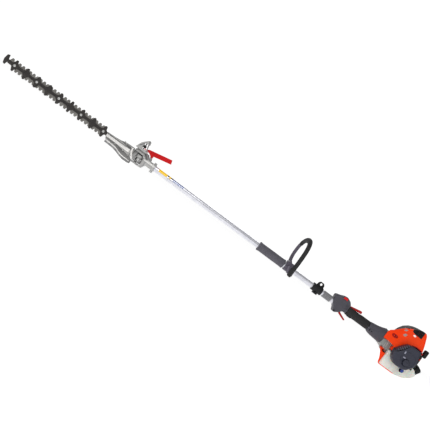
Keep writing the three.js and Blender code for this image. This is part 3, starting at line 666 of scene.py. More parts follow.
class Nodes:
    """The nodes of one material."""

    def __init__(self, name: str) -> None:
        """Starts an empty material.

        Args:
            name: The material's name.
        """
        self.material = bpy.data.materials.new(name)
        self.material.use_nodes = True
        self.tree = self.material.node_tree
        self.tree.nodes.clear()
        self.place = self.add("ShaderNodeTexCoord", {}, {}, "Object")

    def add(self, kind: str, settings: dict, inputs: dict, output: int | str = 0) -> Wire:
        """Adds one node.

        Args:
            kind: The node's type.
            settings: The node's own settings.
            inputs: A value or a wire for each socket, by index or name.
            output: Which output is wanted.

        Returns:
            The wire from that output.
        """
        node = self.tree.nodes.new(kind)
        for key, value in settings.items():
            setattr(node, key, value)
        for key, value in inputs.items():
            if isinstance(value, Wire):
                self.tree.links.new(value.socket, node.inputs[key])
            else:
                node.inputs[key].default_value = value
        return Wire(self, node.outputs[output])

    def noise(self, size: float, detail: float = 3, stretch: Point = (1, 1, 1)) -> Wire:
        """Adds noise whose blobs are about the given size.

        Args:
            size: The size in millimetres.
            detail: How many finer layers it has.
            stretch: How much longer the blobs are along each axis.

        Returns:
            A number around 0.5.
        """
        scale = tuple(1 / s for s in stretch)
        place = self.add("ShaderNodeMapping", {}, {"Vector": self.place, "Scale": scale}, "Vector")
        return self.add(
            "ShaderNodeTexNoise", {}, {"Vector": place, "Scale": 1000 / size, "Detail": detail}, "Fac"
        )

    def cells(self, size: float) -> Wire:
        """Adds round cells of the given size in millimetres."""
        return self.add("ShaderNodeTexVoronoi", {}, {"Vector": self.place, "Scale": 1000 / size}, "Distance")

    def edges(self) -> Wire:
        """Gives the outer edges, above 0.5."""
        return self.add("ShaderNodeNewGeometry", {}, {}, "Pointiness")

    def mix(self, mask: Wire | float, first: "Wire | tuple", second: "Wire | tuple") -> Wire:
        """Mixes two colours by a mask."""
        return self.add("ShaderNodeMix", {"data_type": "RGBA"}, {0: mask, 6: first, 7: second}, 2)

    def bump(self, height: Wire, depth: float, under: Wire | None = None) -> Wire:
        """Turns a height into a bump.

        Args:
            height: The height from 0 to 1.
            depth: The real depth in millimetres.
            under: A bump that this one lies on.

        Returns:
            The normal.
        """
        inputs = {"Height": height, "Distance": depth * MM, "Strength": 1.0}
        if under is not None:
            inputs["Normal"] = under
        return self.add("ShaderNodeBump", {}, inputs, "Normal")

    def finish(self, inputs: dict) -> bpy.types.Material:
        """Ends the material in its shader.

        Args:
            inputs: The shader's sockets by name.

        Returns:
            The material.
        """
        shader = self.add("ShaderNodeBsdfPrincipled", {}, inputs)
        output = self.tree.nodes.new("ShaderNodeOutputMaterial")
        self.tree.links.new(shader.socket, output.inputs["Surface"])
        return self.material


@dataclass(frozen=True)
class Finish:
    """What every finish has: a name, the record's slot and two tones."""

    name: str
    slot: str
    tone: tuple[int, int, int]
    second: tuple[int, int, int]

    def build(self, nodes: Nodes) -> bpy.types.Material:
        """Makes the material's nodes; each kind of finish has its own."""
        raise NotImplementedError

    def material(self) -> bpy.types.Material:
        """Returns the material, which is built once."""
        return bpy.data.materials.get(self.name) or self.build(Nodes(self.name))


@dataclass(frozen=True)
class Moulded(Finish):
    """Moulded plastic or painted metal: a fine grain, faint flow marks, handling wear on edges."""

    rough: float = 0.42
    grain: float = 0.7
    depth: float = 0.03
    coat: float = 0.0
    wear: float = 0.35
    shine: float = 0.22

    def build(self, nodes: Nodes) -> bpy.types.Material:
        """Makes the nodes of a moulded surface."""
        drift = nodes.noise(38, 2)
        grain = nodes.noise(self.grain, 2)
        scuffs = nodes.noise(2.4, 4, (6, 1, 1)).above(0.66, 0.05)
        edge = nodes.edges().above(0.56, 0.05) * nodes.noise(9, 3)
        worn = edge * self.wear + scuffs * (self.wear * 0.22)
        body = nodes.mix(drift, srgb(*self.tone), srgb(*(max(0, round(t * 0.86)) for t in self.tone)))
        colour = nodes.mix(worn, body, srgb(*self.second))
        rough = drift * 0.12 + (scuffs * 0.14 + (self.rough - 0.06))
        normal = nodes.bump(grain, self.depth)
        return nodes.finish(
            {
                "Base Color": colour,
                "Roughness": rough,
                "Normal": normal,
                "Coat Weight": self.coat,
                "Coat Roughness": 0.12,
                "Specular IOR Level": self.shine,
            }
        )


@dataclass(frozen=True)
class Cast(Finish):
    """Cast light alloy: sand grain, duller stained patches, and outer edges lightened in colour, partly as
    handling wear and partly as a painted highlight.
    """

    rough: float = 0.46
    metal: float = 0.75

    def build(self, nodes: Nodes) -> bpy.types.Material:
        """Makes the nodes of a casting."""
        sand = nodes.noise(1.3, 4)
        pits = nodes.cells(2.2)
        stain = nodes.noise(24, 4).above(0.52, 0.2)
        edge = nodes.edges().above(0.545, 0.05)
        body = nodes.mix(stain, srgb(*self.tone), srgb(*self.second))
        # outer edges mixed half way to pale grey: partly handling wear, partly a painted highlight along
        # every edge
        colour = nodes.mix(edge * 0.5, body, srgb(214, 213, 210))
        rough = (stain * 0.14 + self.rough) - edge * 0.12
        normal = nodes.bump(sand, 0.09, nodes.bump(pits, 0.03))
        inputs = {"Base Color": colour, "Metallic": self.metal, "Roughness": rough, "Normal": normal}
        return nodes.finish(inputs)


@dataclass(frozen=True)
class Drawn(Finish):
    """Drawn or ground metal with fine lines along the machine."""

    rough: float = 0.3
    metal: float = 0.95
    stretch: Point = (60, 1, 1)
    lines: float = 0.012

    def build(self, nodes: Nodes) -> bpy.types.Material:
        """Makes the nodes of a drawn surface."""
        lines = nodes.noise(0.9, 3, self.stretch)
        cloud = nodes.noise(30, 3)
        specks = nodes.noise(1.6, 2).above(0.7, 0.04)
        mask = cloud.above(0.5, 0.25)
        colour = nodes.mix(mask * 0.6 + specks * 0.3, srgb(*self.tone), srgb(*self.second))
        rough = lines * 0.16 + (mask * 0.08 + (self.rough - 0.1))
        normal = nodes.bump(lines, self.lines)
        inputs = {"Base Color": colour, "Metallic": self.metal, "Roughness": rough, "Normal": normal}
        return nodes.finish(inputs)


@dataclass(frozen=True)
class Blackened(Finish):
    """Blackened or painted blade steel, rubbed bare along its edges."""

    rough: float = 0.42

    def build(self, nodes: Nodes) -> bpy.types.Material:
        """Makes the nodes of blackened steel."""
        cloud = nodes.noise(14, 4)
        rub = nodes.edges().above(0.56, 0.05) * nodes.noise(3, 3).above(0.5, 0.12)
        scratches = nodes.noise(0.8, 2, (1, 1, 22)).above(0.68, 0.04)
        worn = rub * 0.7 + scratches * 0.25
        body = nodes.mix(cloud, srgb(*self.tone), srgb(46, 42, 40))
        colour = nodes.mix(worn, body, srgb(*self.second))
        normal = nodes.bump(nodes.noise(0.8, 3), 0.03)
        inputs = {"Base Color": colour, "Metallic": worn * 0.6 + 0.3, "Roughness": cloud * 0.15 + self.rough}
        return nodes.finish({**inputs, "Normal": normal})


@dataclass(frozen=True)
class Foam(Finish):
    """Closed-cell foam or rubber with visible pores, whose hollows carry painted shade."""

    pore: float = 1.6
    depth: float = 0.35
    rough: float = 0.85

    def build(self, nodes: Nodes) -> bpy.types.Material:
        """Makes the nodes of a porous surface."""
        pores = nodes.cells(self.pore)
        cloud = nodes.noise(18, 3)
        # painted shade: the pore hollows are mixed towards a darker tone
        dark = 1 - pores.above(0.18, 0.12)
        body = nodes.mix(cloud, srgb(*self.tone), srgb(*self.second))
        colour = nodes.mix(dark * 0.6, body, srgb(*(round(t * 0.45) for t in self.tone)))
        normal = nodes.bump(pores, self.depth, nodes.bump(cloud, 0.2))
        return nodes.finish({"Base Color": colour, "Roughness": cloud * 0.1 + self.rough, "Normal": normal})


@dataclass(frozen=True)
class Clouded(Finish):
    """Blown, milky plastic with a parting haze and light passing into it."""

    def build(self, nodes: Nodes) -> bpy.types.Material:
        """Makes the nodes of a milky plastic."""
        cloud = nodes.noise(32, 4)
        orange_peel = nodes.noise(2.5, 2)
        haze = cloud.above(0.52, 0.2)
        colour = nodes.mix(haze * 0.8, srgb(*self.tone), srgb(*self.second))
        normal = nodes.bump(orange_peel, 0.05)
        inputs = {"Base Color": colour, "Roughness": haze * 0.14 + 0.34, "Normal": normal, "IOR": 1.5}
        return nodes.finish({**inputs, "Subsurface Weight": 0.25, "Subsurface Scale": 0.006})


@dataclass(frozen=True)
class Pleated(Finish):
    """Filter felt folded into pleats, with painted shade in the folds."""

    def build(self, nodes: Nodes) -> bpy.types.Material:
        """Makes the nodes of pleated felt."""
        settings = {"wave_type": "BANDS", "bands_direction": "X"}
        inputs = {"Vector": nodes.place, "Scale": 52.0, "Distortion": 0.4}
        pleats = nodes.add("ShaderNodeTexWave", settings, inputs, "Fac")
        fibres = nodes.noise(0.7, 3, (1, 1, 5))
        # painted shade: the low side of each pleat takes the darker colour
        colour = nodes.mix(pleats, srgb(*self.second), srgb(*self.tone))
        normal = nodes.bump(pleats, 1.2, nodes.bump(fibres, 0.1))
        return nodes.finish({"Base Color": colour, "Roughness": fibres * 0.1 + 0.85, "Normal": normal})


@dataclass(frozen=True)
class Printed(Finish):
    """A plain printed film: an even colour with slightly lifted, dusty edges; the pale patch colours built
    with it are painted highlights.
    """

    def build(self, nodes: Nodes) -> bpy.types.Material:
        """Makes the nodes of a printed film."""
        dust = nodes.noise(5, 4).above(0.62, 0.08)
        colour = nodes.mix(dust * 0.35, srgb(*self.tone), srgb(*self.second))
        normal = nodes.bump(nodes.noise(3, 2), 0.02)
        return nodes.finish({"Base Color": colour, "Roughness": dust * 0.2 + 0.3, "Normal": normal})


ORANGE = Moulded("orange_cover", "orange", (255, 60, 0), (255, 120, 50), 0.4, 0.9, 0.015, 0.04, 0.15, 0.12)
DARK_RED = Moulded("deep_red", "red", (168, 4, 4), (205, 50, 40), 0.4, 0.8, 0.02, 0.04)
LEVER_RED = Moulded("lever_red", "red", (206, 4, 12), (232, 70, 66), 0.4, 1.0, 0.03, 0.04)
BLACK = Moulded("black_plastic", "black", (20, 20, 22), (60, 60, 62), 0.5, 0.8, 0.05)
GRILLE_BLACK = Moulded("heat_black", "black", (13, 13, 15), (48, 47, 46), 0.55, 0.9, 0.05)
DARK_GREY = Moulded("dark_grey_plastic", "darkGrey", (76, 75, 83), (118, 117, 124), 0.48, 0.9, 0.04)
LOOP_GREY = Moulded("loop_grey_plastic", "darkGrey", (84, 78, 92), (128, 124, 134), 0.48, 0.9, 0.04)
COVER_GREY = Moulded("filter_grey_plastic", "coverGrey", (52, 54, 67), (96, 98, 112), 0.38, 1.1, 0.05, 0.05)
RUBBER = Foam("grip_rubber", "rubber", (16, 16, 17), (9, 9, 10), 0.9, 0.08, 0.66)
SLEEVE = Foam("sleeve_foam", "sleeveGrey", (92, 90, 98), (78, 76, 84), 1.5, 0.4)
RIBBED = Foam("ribbed_rubber", "ribbedGrey", (132, 132, 135), (112, 112, 115), 0.8, 0.08, 0.7)
ALLOY = Cast("cast_alloy", "alloy", (158, 158, 158), (112, 112, 113))
MID_ALLOY = Cast("mid_cast_alloy", "alloy", (134, 134, 135), (98, 98, 99), 0.5, 0.65)
# painted shade: a darker copy of the cast alloy for the gearcase, its side cover, the arm web and the clamp's
# dark strip and brace
SHADE_PAINTED_ALLOY = Cast("dark_cast_alloy", "alloy", (96, 95, 95), (70, 69, 69), 0.55, 0.25)
# painted highlight: a lighter copy of the cast alloy for the cover bar, knuckle flange, arm rim and clamp
# strip
HIGHLIGHT_PAINTED_ALLOY = Cast("bright_cast_alloy", "alloy", (236, 234, 231), (212, 210, 208), 0.4, 0.55)
HOUSING_GREY = Cast("clutch_casting", "castGrey", (142, 145, 143), (118, 121, 119), 0.5, 0.35)
TUBE_ALLOY = Drawn("tube_alloy", "paleAlloy", (214, 214, 220), (186, 187, 195), 0.3, 0.8)
STEEL = Drawn("turned_steel", "steel", (150, 148, 146), (112, 110, 107), 0.34, 0.95, (1, 6, 1))
CUTTER_STEEL = Drawn(
    "ground_cutter_steel", "cutterSteel", (134, 132, 128), (92, 88, 84), 0.36, 0.85, (1, 1, 30), 0.02
)
SCREW_STEEL = Drawn("zinc_screw", "steel", (206, 206, 204), (168, 168, 166), 0.3, 0.9, (1, 3, 1))
BLADE_BLACK = Blackened("blade_black", "bladeBlack", (28, 23, 23), (120, 116, 112))
TANK_WHITE = Clouded("milky_tank", "tank", (230, 230, 222), (208, 209, 200))
ROPE_BRAID = Foam("rope_braid", "black", (70, 66, 64), (44, 42, 42), 0.6, 0.1, 0.8)
BLUE = Moulded("bulb_blue", "blue", (24, 56, 156), (90, 120, 200), 0.22, 1.5, 0.01, 0.5)
FELT = Pleated("filter_felt", "filter", (224, 214, 178), (172, 160, 122))
YELLOW_LABEL = Printed("yellow_label", "paleAlloy", (250, 203, 12), (222, 176, 30))
BLACK_LABEL = Printed("black_label", "paleAlloy", (42, 40, 38), (74, 70, 64))
BLUE_LABEL = Printed("blue_label", "paleAlloy", (84, 110, 176), (150, 166, 205))
# painted highlight: a white patch on the orange cover
PAINTED_HIGHLIGHT_WHITE = Printed("badge_white", "orange", (246, 240, 234), (222, 208, 198))
# painted highlights: pale blue-grey patches on the filter cover
PAINTED_HIGHLIGHT_BLUE_GREY = Printed("mark_grey", "coverGrey", (150, 152, 168), (120, 122, 138))
# painted highlights: pale grey patches on the orange cover
PAINTED_HIGHLIGHT_GREY = Printed("badge_grey", "orange", (156, 132, 126), (176, 120, 96))


# ---------------------------------------------------------------- sub-assemblies


class SubAssembly:
    """A group of pieces that is built and dressed together."""

    title = "sub-assembly"

    def build(self) -> None:
        """Builds every piece of the group."""
        raise NotImplementedError

    def dress(
        self, name: str, shape: Solid, finish: Finish, body: str, stands_for: Sequence[str] = (),
        sharp: float = 38
    ) -> bpy.types.Object:
        """Makes a finished piece that moves with a body.

        Args:
            name: The piece's name.
            shape: Its shape.
            finish: Its finish.
            body: The body that it moves with.
            stands_for: The frame nodes that it stands for.
            sharp: Edges sharper than this many degrees keep a hard line.

        Returns:
            The piece.
        """
        thing = shape.object(name, sharp)
        thing.data.materials.clear()
        thing.data.materials.append(finish.material())
        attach(thing, body)
        if stands_for:
            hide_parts(*stands_for)
        LOG.info("%s: %s, %d faces", self.title, name, len(thing.data.polygons))
        return thing

    def keep(self, node: str, finish: Finish) -> None:
        """Keeps a frame node's shape and gives it a finish.

        Args:
            node: The node.
            finish: Its finish.
        """
        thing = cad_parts[node]
        for place in thing.material_slots:
            place.material = finish.material()
        LOG.info("%s: %s keeps its shape", self.title, node)

    def refine(
        self, node: str, finish: Finish, width: float, body: str, add: Sequence[Solid] = (),
        cut: Sequence[Solid] = (), angle: float = 32
    ) -> None:
        """Makes a piece from a frame node with rounded edges and more detail.

        Args:
            node: The node.
            finish: The finish.
            width: How far its edges are rounded.
            body: The body that it moves with.
            add: Solids to join to it.
            cut: Solids to cut from it.
            angle: Edges sharper than this many degrees are rounded.
        """
        shape = Solid.of_node(node)
        if add:
            shape = shape.joined(*add)
        if cut:
            shape = shape.cut(*cut)
        self.dress(node + "_piece", shape.rounded(width, 3, angle), finish, body, [node])


def screw_head(axis: Axis, place: Point, radius: float, height: float, socket: float) -> Solid:
    """Makes a cap screw's head with a hexagonal socket.

    Args:
        axis: The screw's axis.
        place: The middle of its underside.
        radius: Its radius.
        height: Its height, less than zero to point down the axis.
        socket: The socket's radius.

    Returns:
        The head.
    """
    sign = 1 if height > 0 else -1
    chamfer = sign * radius * 0.16
    profile = [(0, radius), (height - chamfer, radius), (height, radius - abs(chamfer))]
    head = Solid.turned(profile, axis, place, 28)
    hollow = Solid.turned([(height * 0.35, socket), (height * 1.3, socket)], axis, place, 6)
    return head.cut(hollow)


def stadium(centre: Point, half: float, radius: float, low: float, high: float) -> Solid:
    """Makes a slot-shaped solid square to the machine's side.

    Args:
        centre: Its middle in (x, z).
        half: Half the distance between the two round ends.
        radius: The ends' radius.
        low: The near face's y.
        high: The far face's y.

    Returns:
        The solid.
    """
    outline = []
    for side in (1, -1):
        for i in range(13):
            turn = math.pi * i / 12 - math.pi / 2
            across = side * (half + radius * math.cos(turn))
            outline.append((centre[0] + across, centre[1] + side * radius * math.sin(turn)))
    return Solid.prism(outline, low, high)


@dataclass
class CutterBar(SubAssembly):
    """The blunt black guard, the two toothed cutters, the bar that carries them and its screws."""

    title = "cutter bar"
    tip: float = -1160
    centre: float = -2.5
    guard_pitch: float = 61.9
    guards: int = 9
    first_guard: float = -1117
    tooth_pitch: float = 39
    reach: float = 24
    bar_half: float = 9

    def guard_x(self, i: int) -> float:
        """Gives the place of one guard tooth."""
        return self.first_guard + i * self.guard_pitch

    def guard_outline(self) -> Outline:
        """Draws the guard bar with its double-sided blunt teeth."""
        c = self.centre
        upper: list[Point] = []
        lower: list[Point] = []
        for i in range(self.guards):
            x = self.guard_x(i)
            upper += [
                (x - 17, c + 8), (x - 9, c + 12.5), (x - 4.4, c + 28), (x + 4.4, c + 28), (x + 9, c + 12.5),
                (x + 17, c + 8)
            ]
            lower += [
                (x - 17, c - 6), (x - 9, c - 11), (x - 4.4, c - 28), (x + 4.4, c - 28), (x + 9, c - 11),
                (x + 17, c - 6)
            ]
        end = -574
        nose = [
            (self.tip, c - 22), (self.tip - 10, c - 20), (self.tip - 16, c), (self.tip - 12, c + 24),
            (self.tip, c + 28)
        ]
        outline = nose + [(self.tip + 4, c + 8)] + upper + [
            (end, c + 8), (end, c - 6)
        ] + lower[::-1] + [(self.tip + 4, c - 6)]
        return fillet(outline, 3.2, 4)

    def guard(self) -> Solid:
        """Builds the guard bar with its pressed pockets and screw holes."""
        c = self.centre
        bar = Solid.prism(self.guard_outline(), -6, -3.4)
        x = self.guard_x(0)
        pockets = Solid.prism(
            fillet([(x + 19, c - 2), (x + 43, c - 2), (x + 43, c + 4), (x + 19, c + 4)], 2.4), -7, -5.4
        )
        holes = Solid.rod(Axis.Y, (x, -8, c), 6, 3.3, steps=20)
        row = (self.guard_pitch, 0, 0)
        return bar.cut(
            pockets.repeated(self.guards - 1, row), holes.repeated(5, (2 * self.guard_pitch, 0, 0))
        )

    def cutter_outline(self, phase: float, upper_teeth: int, grind: float) -> Outline:
        """Draws one cutter.

        Args:
            phase: How far its first tooth lies behind the front cutter's.
            upper_teeth: The number of teeth on its upper edge.
            grind: How far the ground flanks stand back from the cutting edge.

        Returns:
            The outline.
        """
        c = self.centre
        first = -1140 + phase

        def tooth(x: float, side: int) -> Outline:
            root = self.bar_half + grind * 0.3
            return [
                (x - 12 + grind, c + side * root),
                (x - 4.2 + grind, c + side * self.reach),
                (x + 4.2 - grind, c + side * self.reach),
                (x + 12 - grind, c + side * root),
            ]

        upper = [p for i in range(upper_teeth) for p in tooth(first + i * self.tooth_pitch, 1)]
        lower = [p for i in range(13) for p in tooth(first + (i + 0.5) * self.tooth_pitch, -1)]
        start = first - 14
        head = [(start, c - self.bar_half), (start, c + self.bar_half)]
        tail = [(-600, c + 9), (-596, c + 5), (-562, c + 5), (-562, c - 5), (-596, c - 5), (-600, c - 9)]
        return head + upper + tail + lower[::-1]

    def cutter(self, phase: float, teeth: int, faces: Sequence[tuple[float, float]]) -> Solid:
        """Builds one cutter with ground teeth and slots for the screws.

        Args:
            phase: How far its first tooth lies behind the front cutter's.
            teeth: The number of teeth on its upper edge.
            faces: The places across its thickness, each with how far the flanks stand back there.

        Returns:
            The cutter.
        """
        rings = [[(x, y, z) for x, z in self.cutter_outline(phase, teeth, grind)] for y, grind in faces]
        slot = stadium((self.guard_x(0), self.centre), 13, 3.3, faces[0][0] - 1, faces[-1][0] + 1)
        return Solid.loft(rings).cut(slot.repeated(5, (2 * self.guard_pitch, 0, 0)))

    def carrier(self) -> Solid:
        """Builds the bar behind the blades, with a groove along its back."""
        c = self.centre
        bar = Solid.prism(fillet([(-1166, c - 6), (-1166, c + 6), (-574, c + 7), (-574, c - 7)], 3), 1.3, 5)
        return bar.cut(Solid.block((-1150, 4.3, c - 1.6), (-590, 6, c + 1.6)))

    def screws(self) -> Solid:
        """Builds the blade screws and their nuts."""
        c = self.centre
        x = self.guard_x(0)
        head = screw_head(Axis.Y, (x, -6.1, c), 6, -2.1, 2.7)
        shank = Solid.rod(Axis.Y, (x, -6.4, c), 14.4, 2.9, steps=20)
        nut = Solid.turned([(5.05, 5.2), (5.3, 5.6), (8.2, 5.6), (8.5, 5.2)], Axis.Y, (x, 0, c), 6)
        screw = head.joined(shank, nut)
        return screw.repeated(5, (2 * self.guard_pitch, 0, 0))

    def build(self) -> None:
        """Builds and dresses the blades."""
        self.dress("guard_bar_piece", self.guard().rounded(0.5, 2, 40), BLADE_BLACK, "head", ["guard_bar"])
        front = self.cutter(0, 14, [(-3.1, 1.5), (-1.9, 0), (-1.2, 0)])
        self.dress("front_cutter_piece", front, CUTTER_STEEL, "front_cutter", ["front_cutter"], 20)
        rear = self.cutter(self.tooth_pitch / 2, 13, [(-0.9, 0), (-0.2, 0), (1.0, 1.5)])
        self.dress("rear_cutter_piece", rear, CUTTER_STEEL, "rear_cutter", ["rear_cutter"], 20)
        self.dress("support_bar_piece", self.carrier().rounded(0.5, 2), STEEL, "head", ["support_bar"])
        self.dress("blade_screws", self.screws(), SCREW_STEEL, "head")


@dataclass
class CutterHead(SubAssembly):
    """The gearcase that drives the cutters, the knuckle it turns on and the steering arm."""

    title = "cutter head"
    pivot: float = -428
    outline: Outline = (
        (-600, -15), (-600, 8), (-560, 10), (-530, 13), (-510, 19), (-490, 21), (-465, 21), (-465, -28),
        (-480, -28), (-520, -21), (-560, -16)
    )

    def cover(self) -> Solid:
        """Builds the gearcase's side cover with a raised rim and a sunk floor."""
        plate = Solid.pillow(fillet(self.outline, 3, 4), -16, -13.3, 1.4, 0.3, 3)
        floor = Solid.prism(
            fillet(
                [
                    (-596, 1.5), (-596, 5.6), (-560, 7.4), (-530, 10.4), (-511, 16), (-489, 18), (-470, 18),
                    (-470, 5)
                ],
                1.5
            ),
            -18, -15.1
        )
        under = Solid.prism(
            fillet(
                [(-594, -12.6), (-560, -13.6), (-521, -18.5), (-481, -25.2), (-470, -25.2), (-470, -13.6)],
                1.2
            ),
            -18, -14.6
        )
        return plate.cut(floor, under)

    def cover_bar(self) -> Solid:
        """Builds the flat bar along the cover, made bright as a painted highlight."""
        return Solid.pillow(
            fillet([(-598, -11), (-598, 0), (-500, 0), (-474, 4), (-474, -12)], 2, 4), -18.6, -15, 1.0, 0.2, 3
        )

    def cover_screws(self) -> Solid:
        """Builds the cover's screws."""
        places = [
            (-588, 4.4), (-560, 5), (-530, 7.6), (-503, 13.4), (-474, 14.2), (-500, -18.4), (-474, -21),
            (-545, -15)
        ]
        return Solid.together(*(screw_head(Axis.Y, (x, -15, z), 2.5, -2.2, 1.2) for x, z in places))

    def flange(self) -> Solid:
        """Builds the curved flange between gearcase and knuckle, made bright as a painted highlight."""
        inner = spline([(-463, 18), (-461, 6), (-454, -8), (-441, -21)], 6)
        outer = spline([(-447, -25), (-462, -11), (-469, 4), (-471, 17)], 6)
        return Solid.pillow([tuple(p) for p in inner + outer], -19.5, -13.2, 1.3, 0.3, 3)

    def knuckle(self) -> Solid:
        """Builds the knuckle with its recess for the cross bolt."""
        ball = Solid.of_node("knuckle_ball")
        band = Solid.turned(
            [(-15.2, 22.4), (-15.2, 28.6), (-6, 29.2), (-6, 22.4), (-15.2, 22.4)], Axis.Z, (self.pivot, 0, 0),
            64
        )
        collar = Solid.turned(
            [(15.6, 19), (15.6, 29.8), (16.4, 30.6), (21.8, 30.6), (21.8, 19), (15.6, 19)], Axis.Z,
            (self.pivot, 0, 0), 64
        )
        ball = ball.joined(band, collar)
        recess = Solid.rod(Axis.Y, (self.pivot + 6, -40, -12), 18.6, 9, steps=36)
        groove = Solid.turned(
            [(8, 29.6), (8, 33), (10, 33), (10, 29.6), (8, 29.6)], Axis.Z, (self.pivot, 0, 0), 48
        )
        return ball.cut(recess, groove).rounded(1.6, 3)

    def arm_rim(self) -> Solid:
        """Builds the upper rim of the steering arm, made bright as a painted highlight."""
        top = spline(
            [
                (-591, -23.2), (-560, -24.2), (-540, -25.6), (-522, -29.4), (-503, -36), (-482, -38.7),
                (-451, -38.7)
            ],
            5
        )
        low = spline(
            [
                (-451, -43), (-482, -43), (-504, -40.4), (-524, -34), (-541, -30.2), (-560, -28.6),
                (-591, -27.6)
            ],
            5
        )
        return Solid.pillow([tuple(p) for p in top + low], -13.4, -11.4, 0.7, 0.2, 2)

    def build(self) -> None:
        """Builds and dresses the head."""
        ribs = Solid.block((-556, -14, -17.5), (-553.5, 14, 12)).repeated(4, (14, 0, 0))
        nipple = Solid.turned(
            [(15, 3.4), (19, 3.4), (19.2, 2.2), (21.5, 1.4), (22.2, 2.1), (23.6, 1.7), (24.2, 0.9)], Axis.Z,
            (-516, 2, 0), 24
        )
        # painted shade: the gearcase takes the darker copy of the alloy
        self.refine("gearcase", SHADE_PAINTED_ALLOY, 1.3, "head", cut=[ribs.moved(0, 27.2, 0)])
        self.dress("grease_nipple", nipple, SCREW_STEEL, "head")
        # painted shade: the side cover also takes the darker alloy copy
        self.dress(
            "gearcase_cover_piece", self.cover().rounded(0.3, 2, 50), SHADE_PAINTED_ALLOY, "head", ["gearcase_cover"]
        )
        # painted highlight: the bar and the flange below take the lighter alloy copy
        self.dress("cover_bar", self.cover_bar(), HIGHLIGHT_PAINTED_ALLOY, "head")
        self.dress("cover_screws", self.cover_screws(), SCREW_STEEL, "head")
        self.dress("knuckle_flange", self.flange(), HIGHLIGHT_PAINTED_ALLOY, "head")
        # painted shade: this web fills the dark wedge under the gearcase in the darker alloy copy
        web = [
            (-596, -14), (-596, -22), (-545, -24.5), (-522, -28.5), (-502, -35.5), (-480, -38), (-470, -40),
            (-445, -40), (-447, -32), (-452, -27), (-462, -20), (-480, -22), (-520, -18), (-560, -14),
        ]
        self.dress("arm_web", Solid.pillow(fillet(web, 1, 3), -13, -8, 0.7, 0.7, 2), SHADE_PAINTED_ALLOY, "head")
        self.dress("knuckle_piece", self.knuckle(), MID_ALLOY, "head", ["knuckle_ball"])
        bolt = screw_head(Axis.Y, (self.pivot + 9, -20.6, -12), 6.4, -4.6, 2.6)
        self.dress("knuckle_bolt", bolt.rounded(0.4, 2), SCREW_STEEL, "head")
        self.refine("index_disc", STEEL, 0.4, "head")
        self.refine("steering_arm", ALLOY, 1.6, "head")
        # painted highlight: the arm's upper rim in the lighter alloy copy
        self.dress("steering_arm_rim", self.arm_rim(), HIGHLIGHT_PAINTED_ALLOY, "head")
        for node in ("crank_gear", "head_bevel_shaft", "idler_bevel"):
            self.keep(node, STEEL)


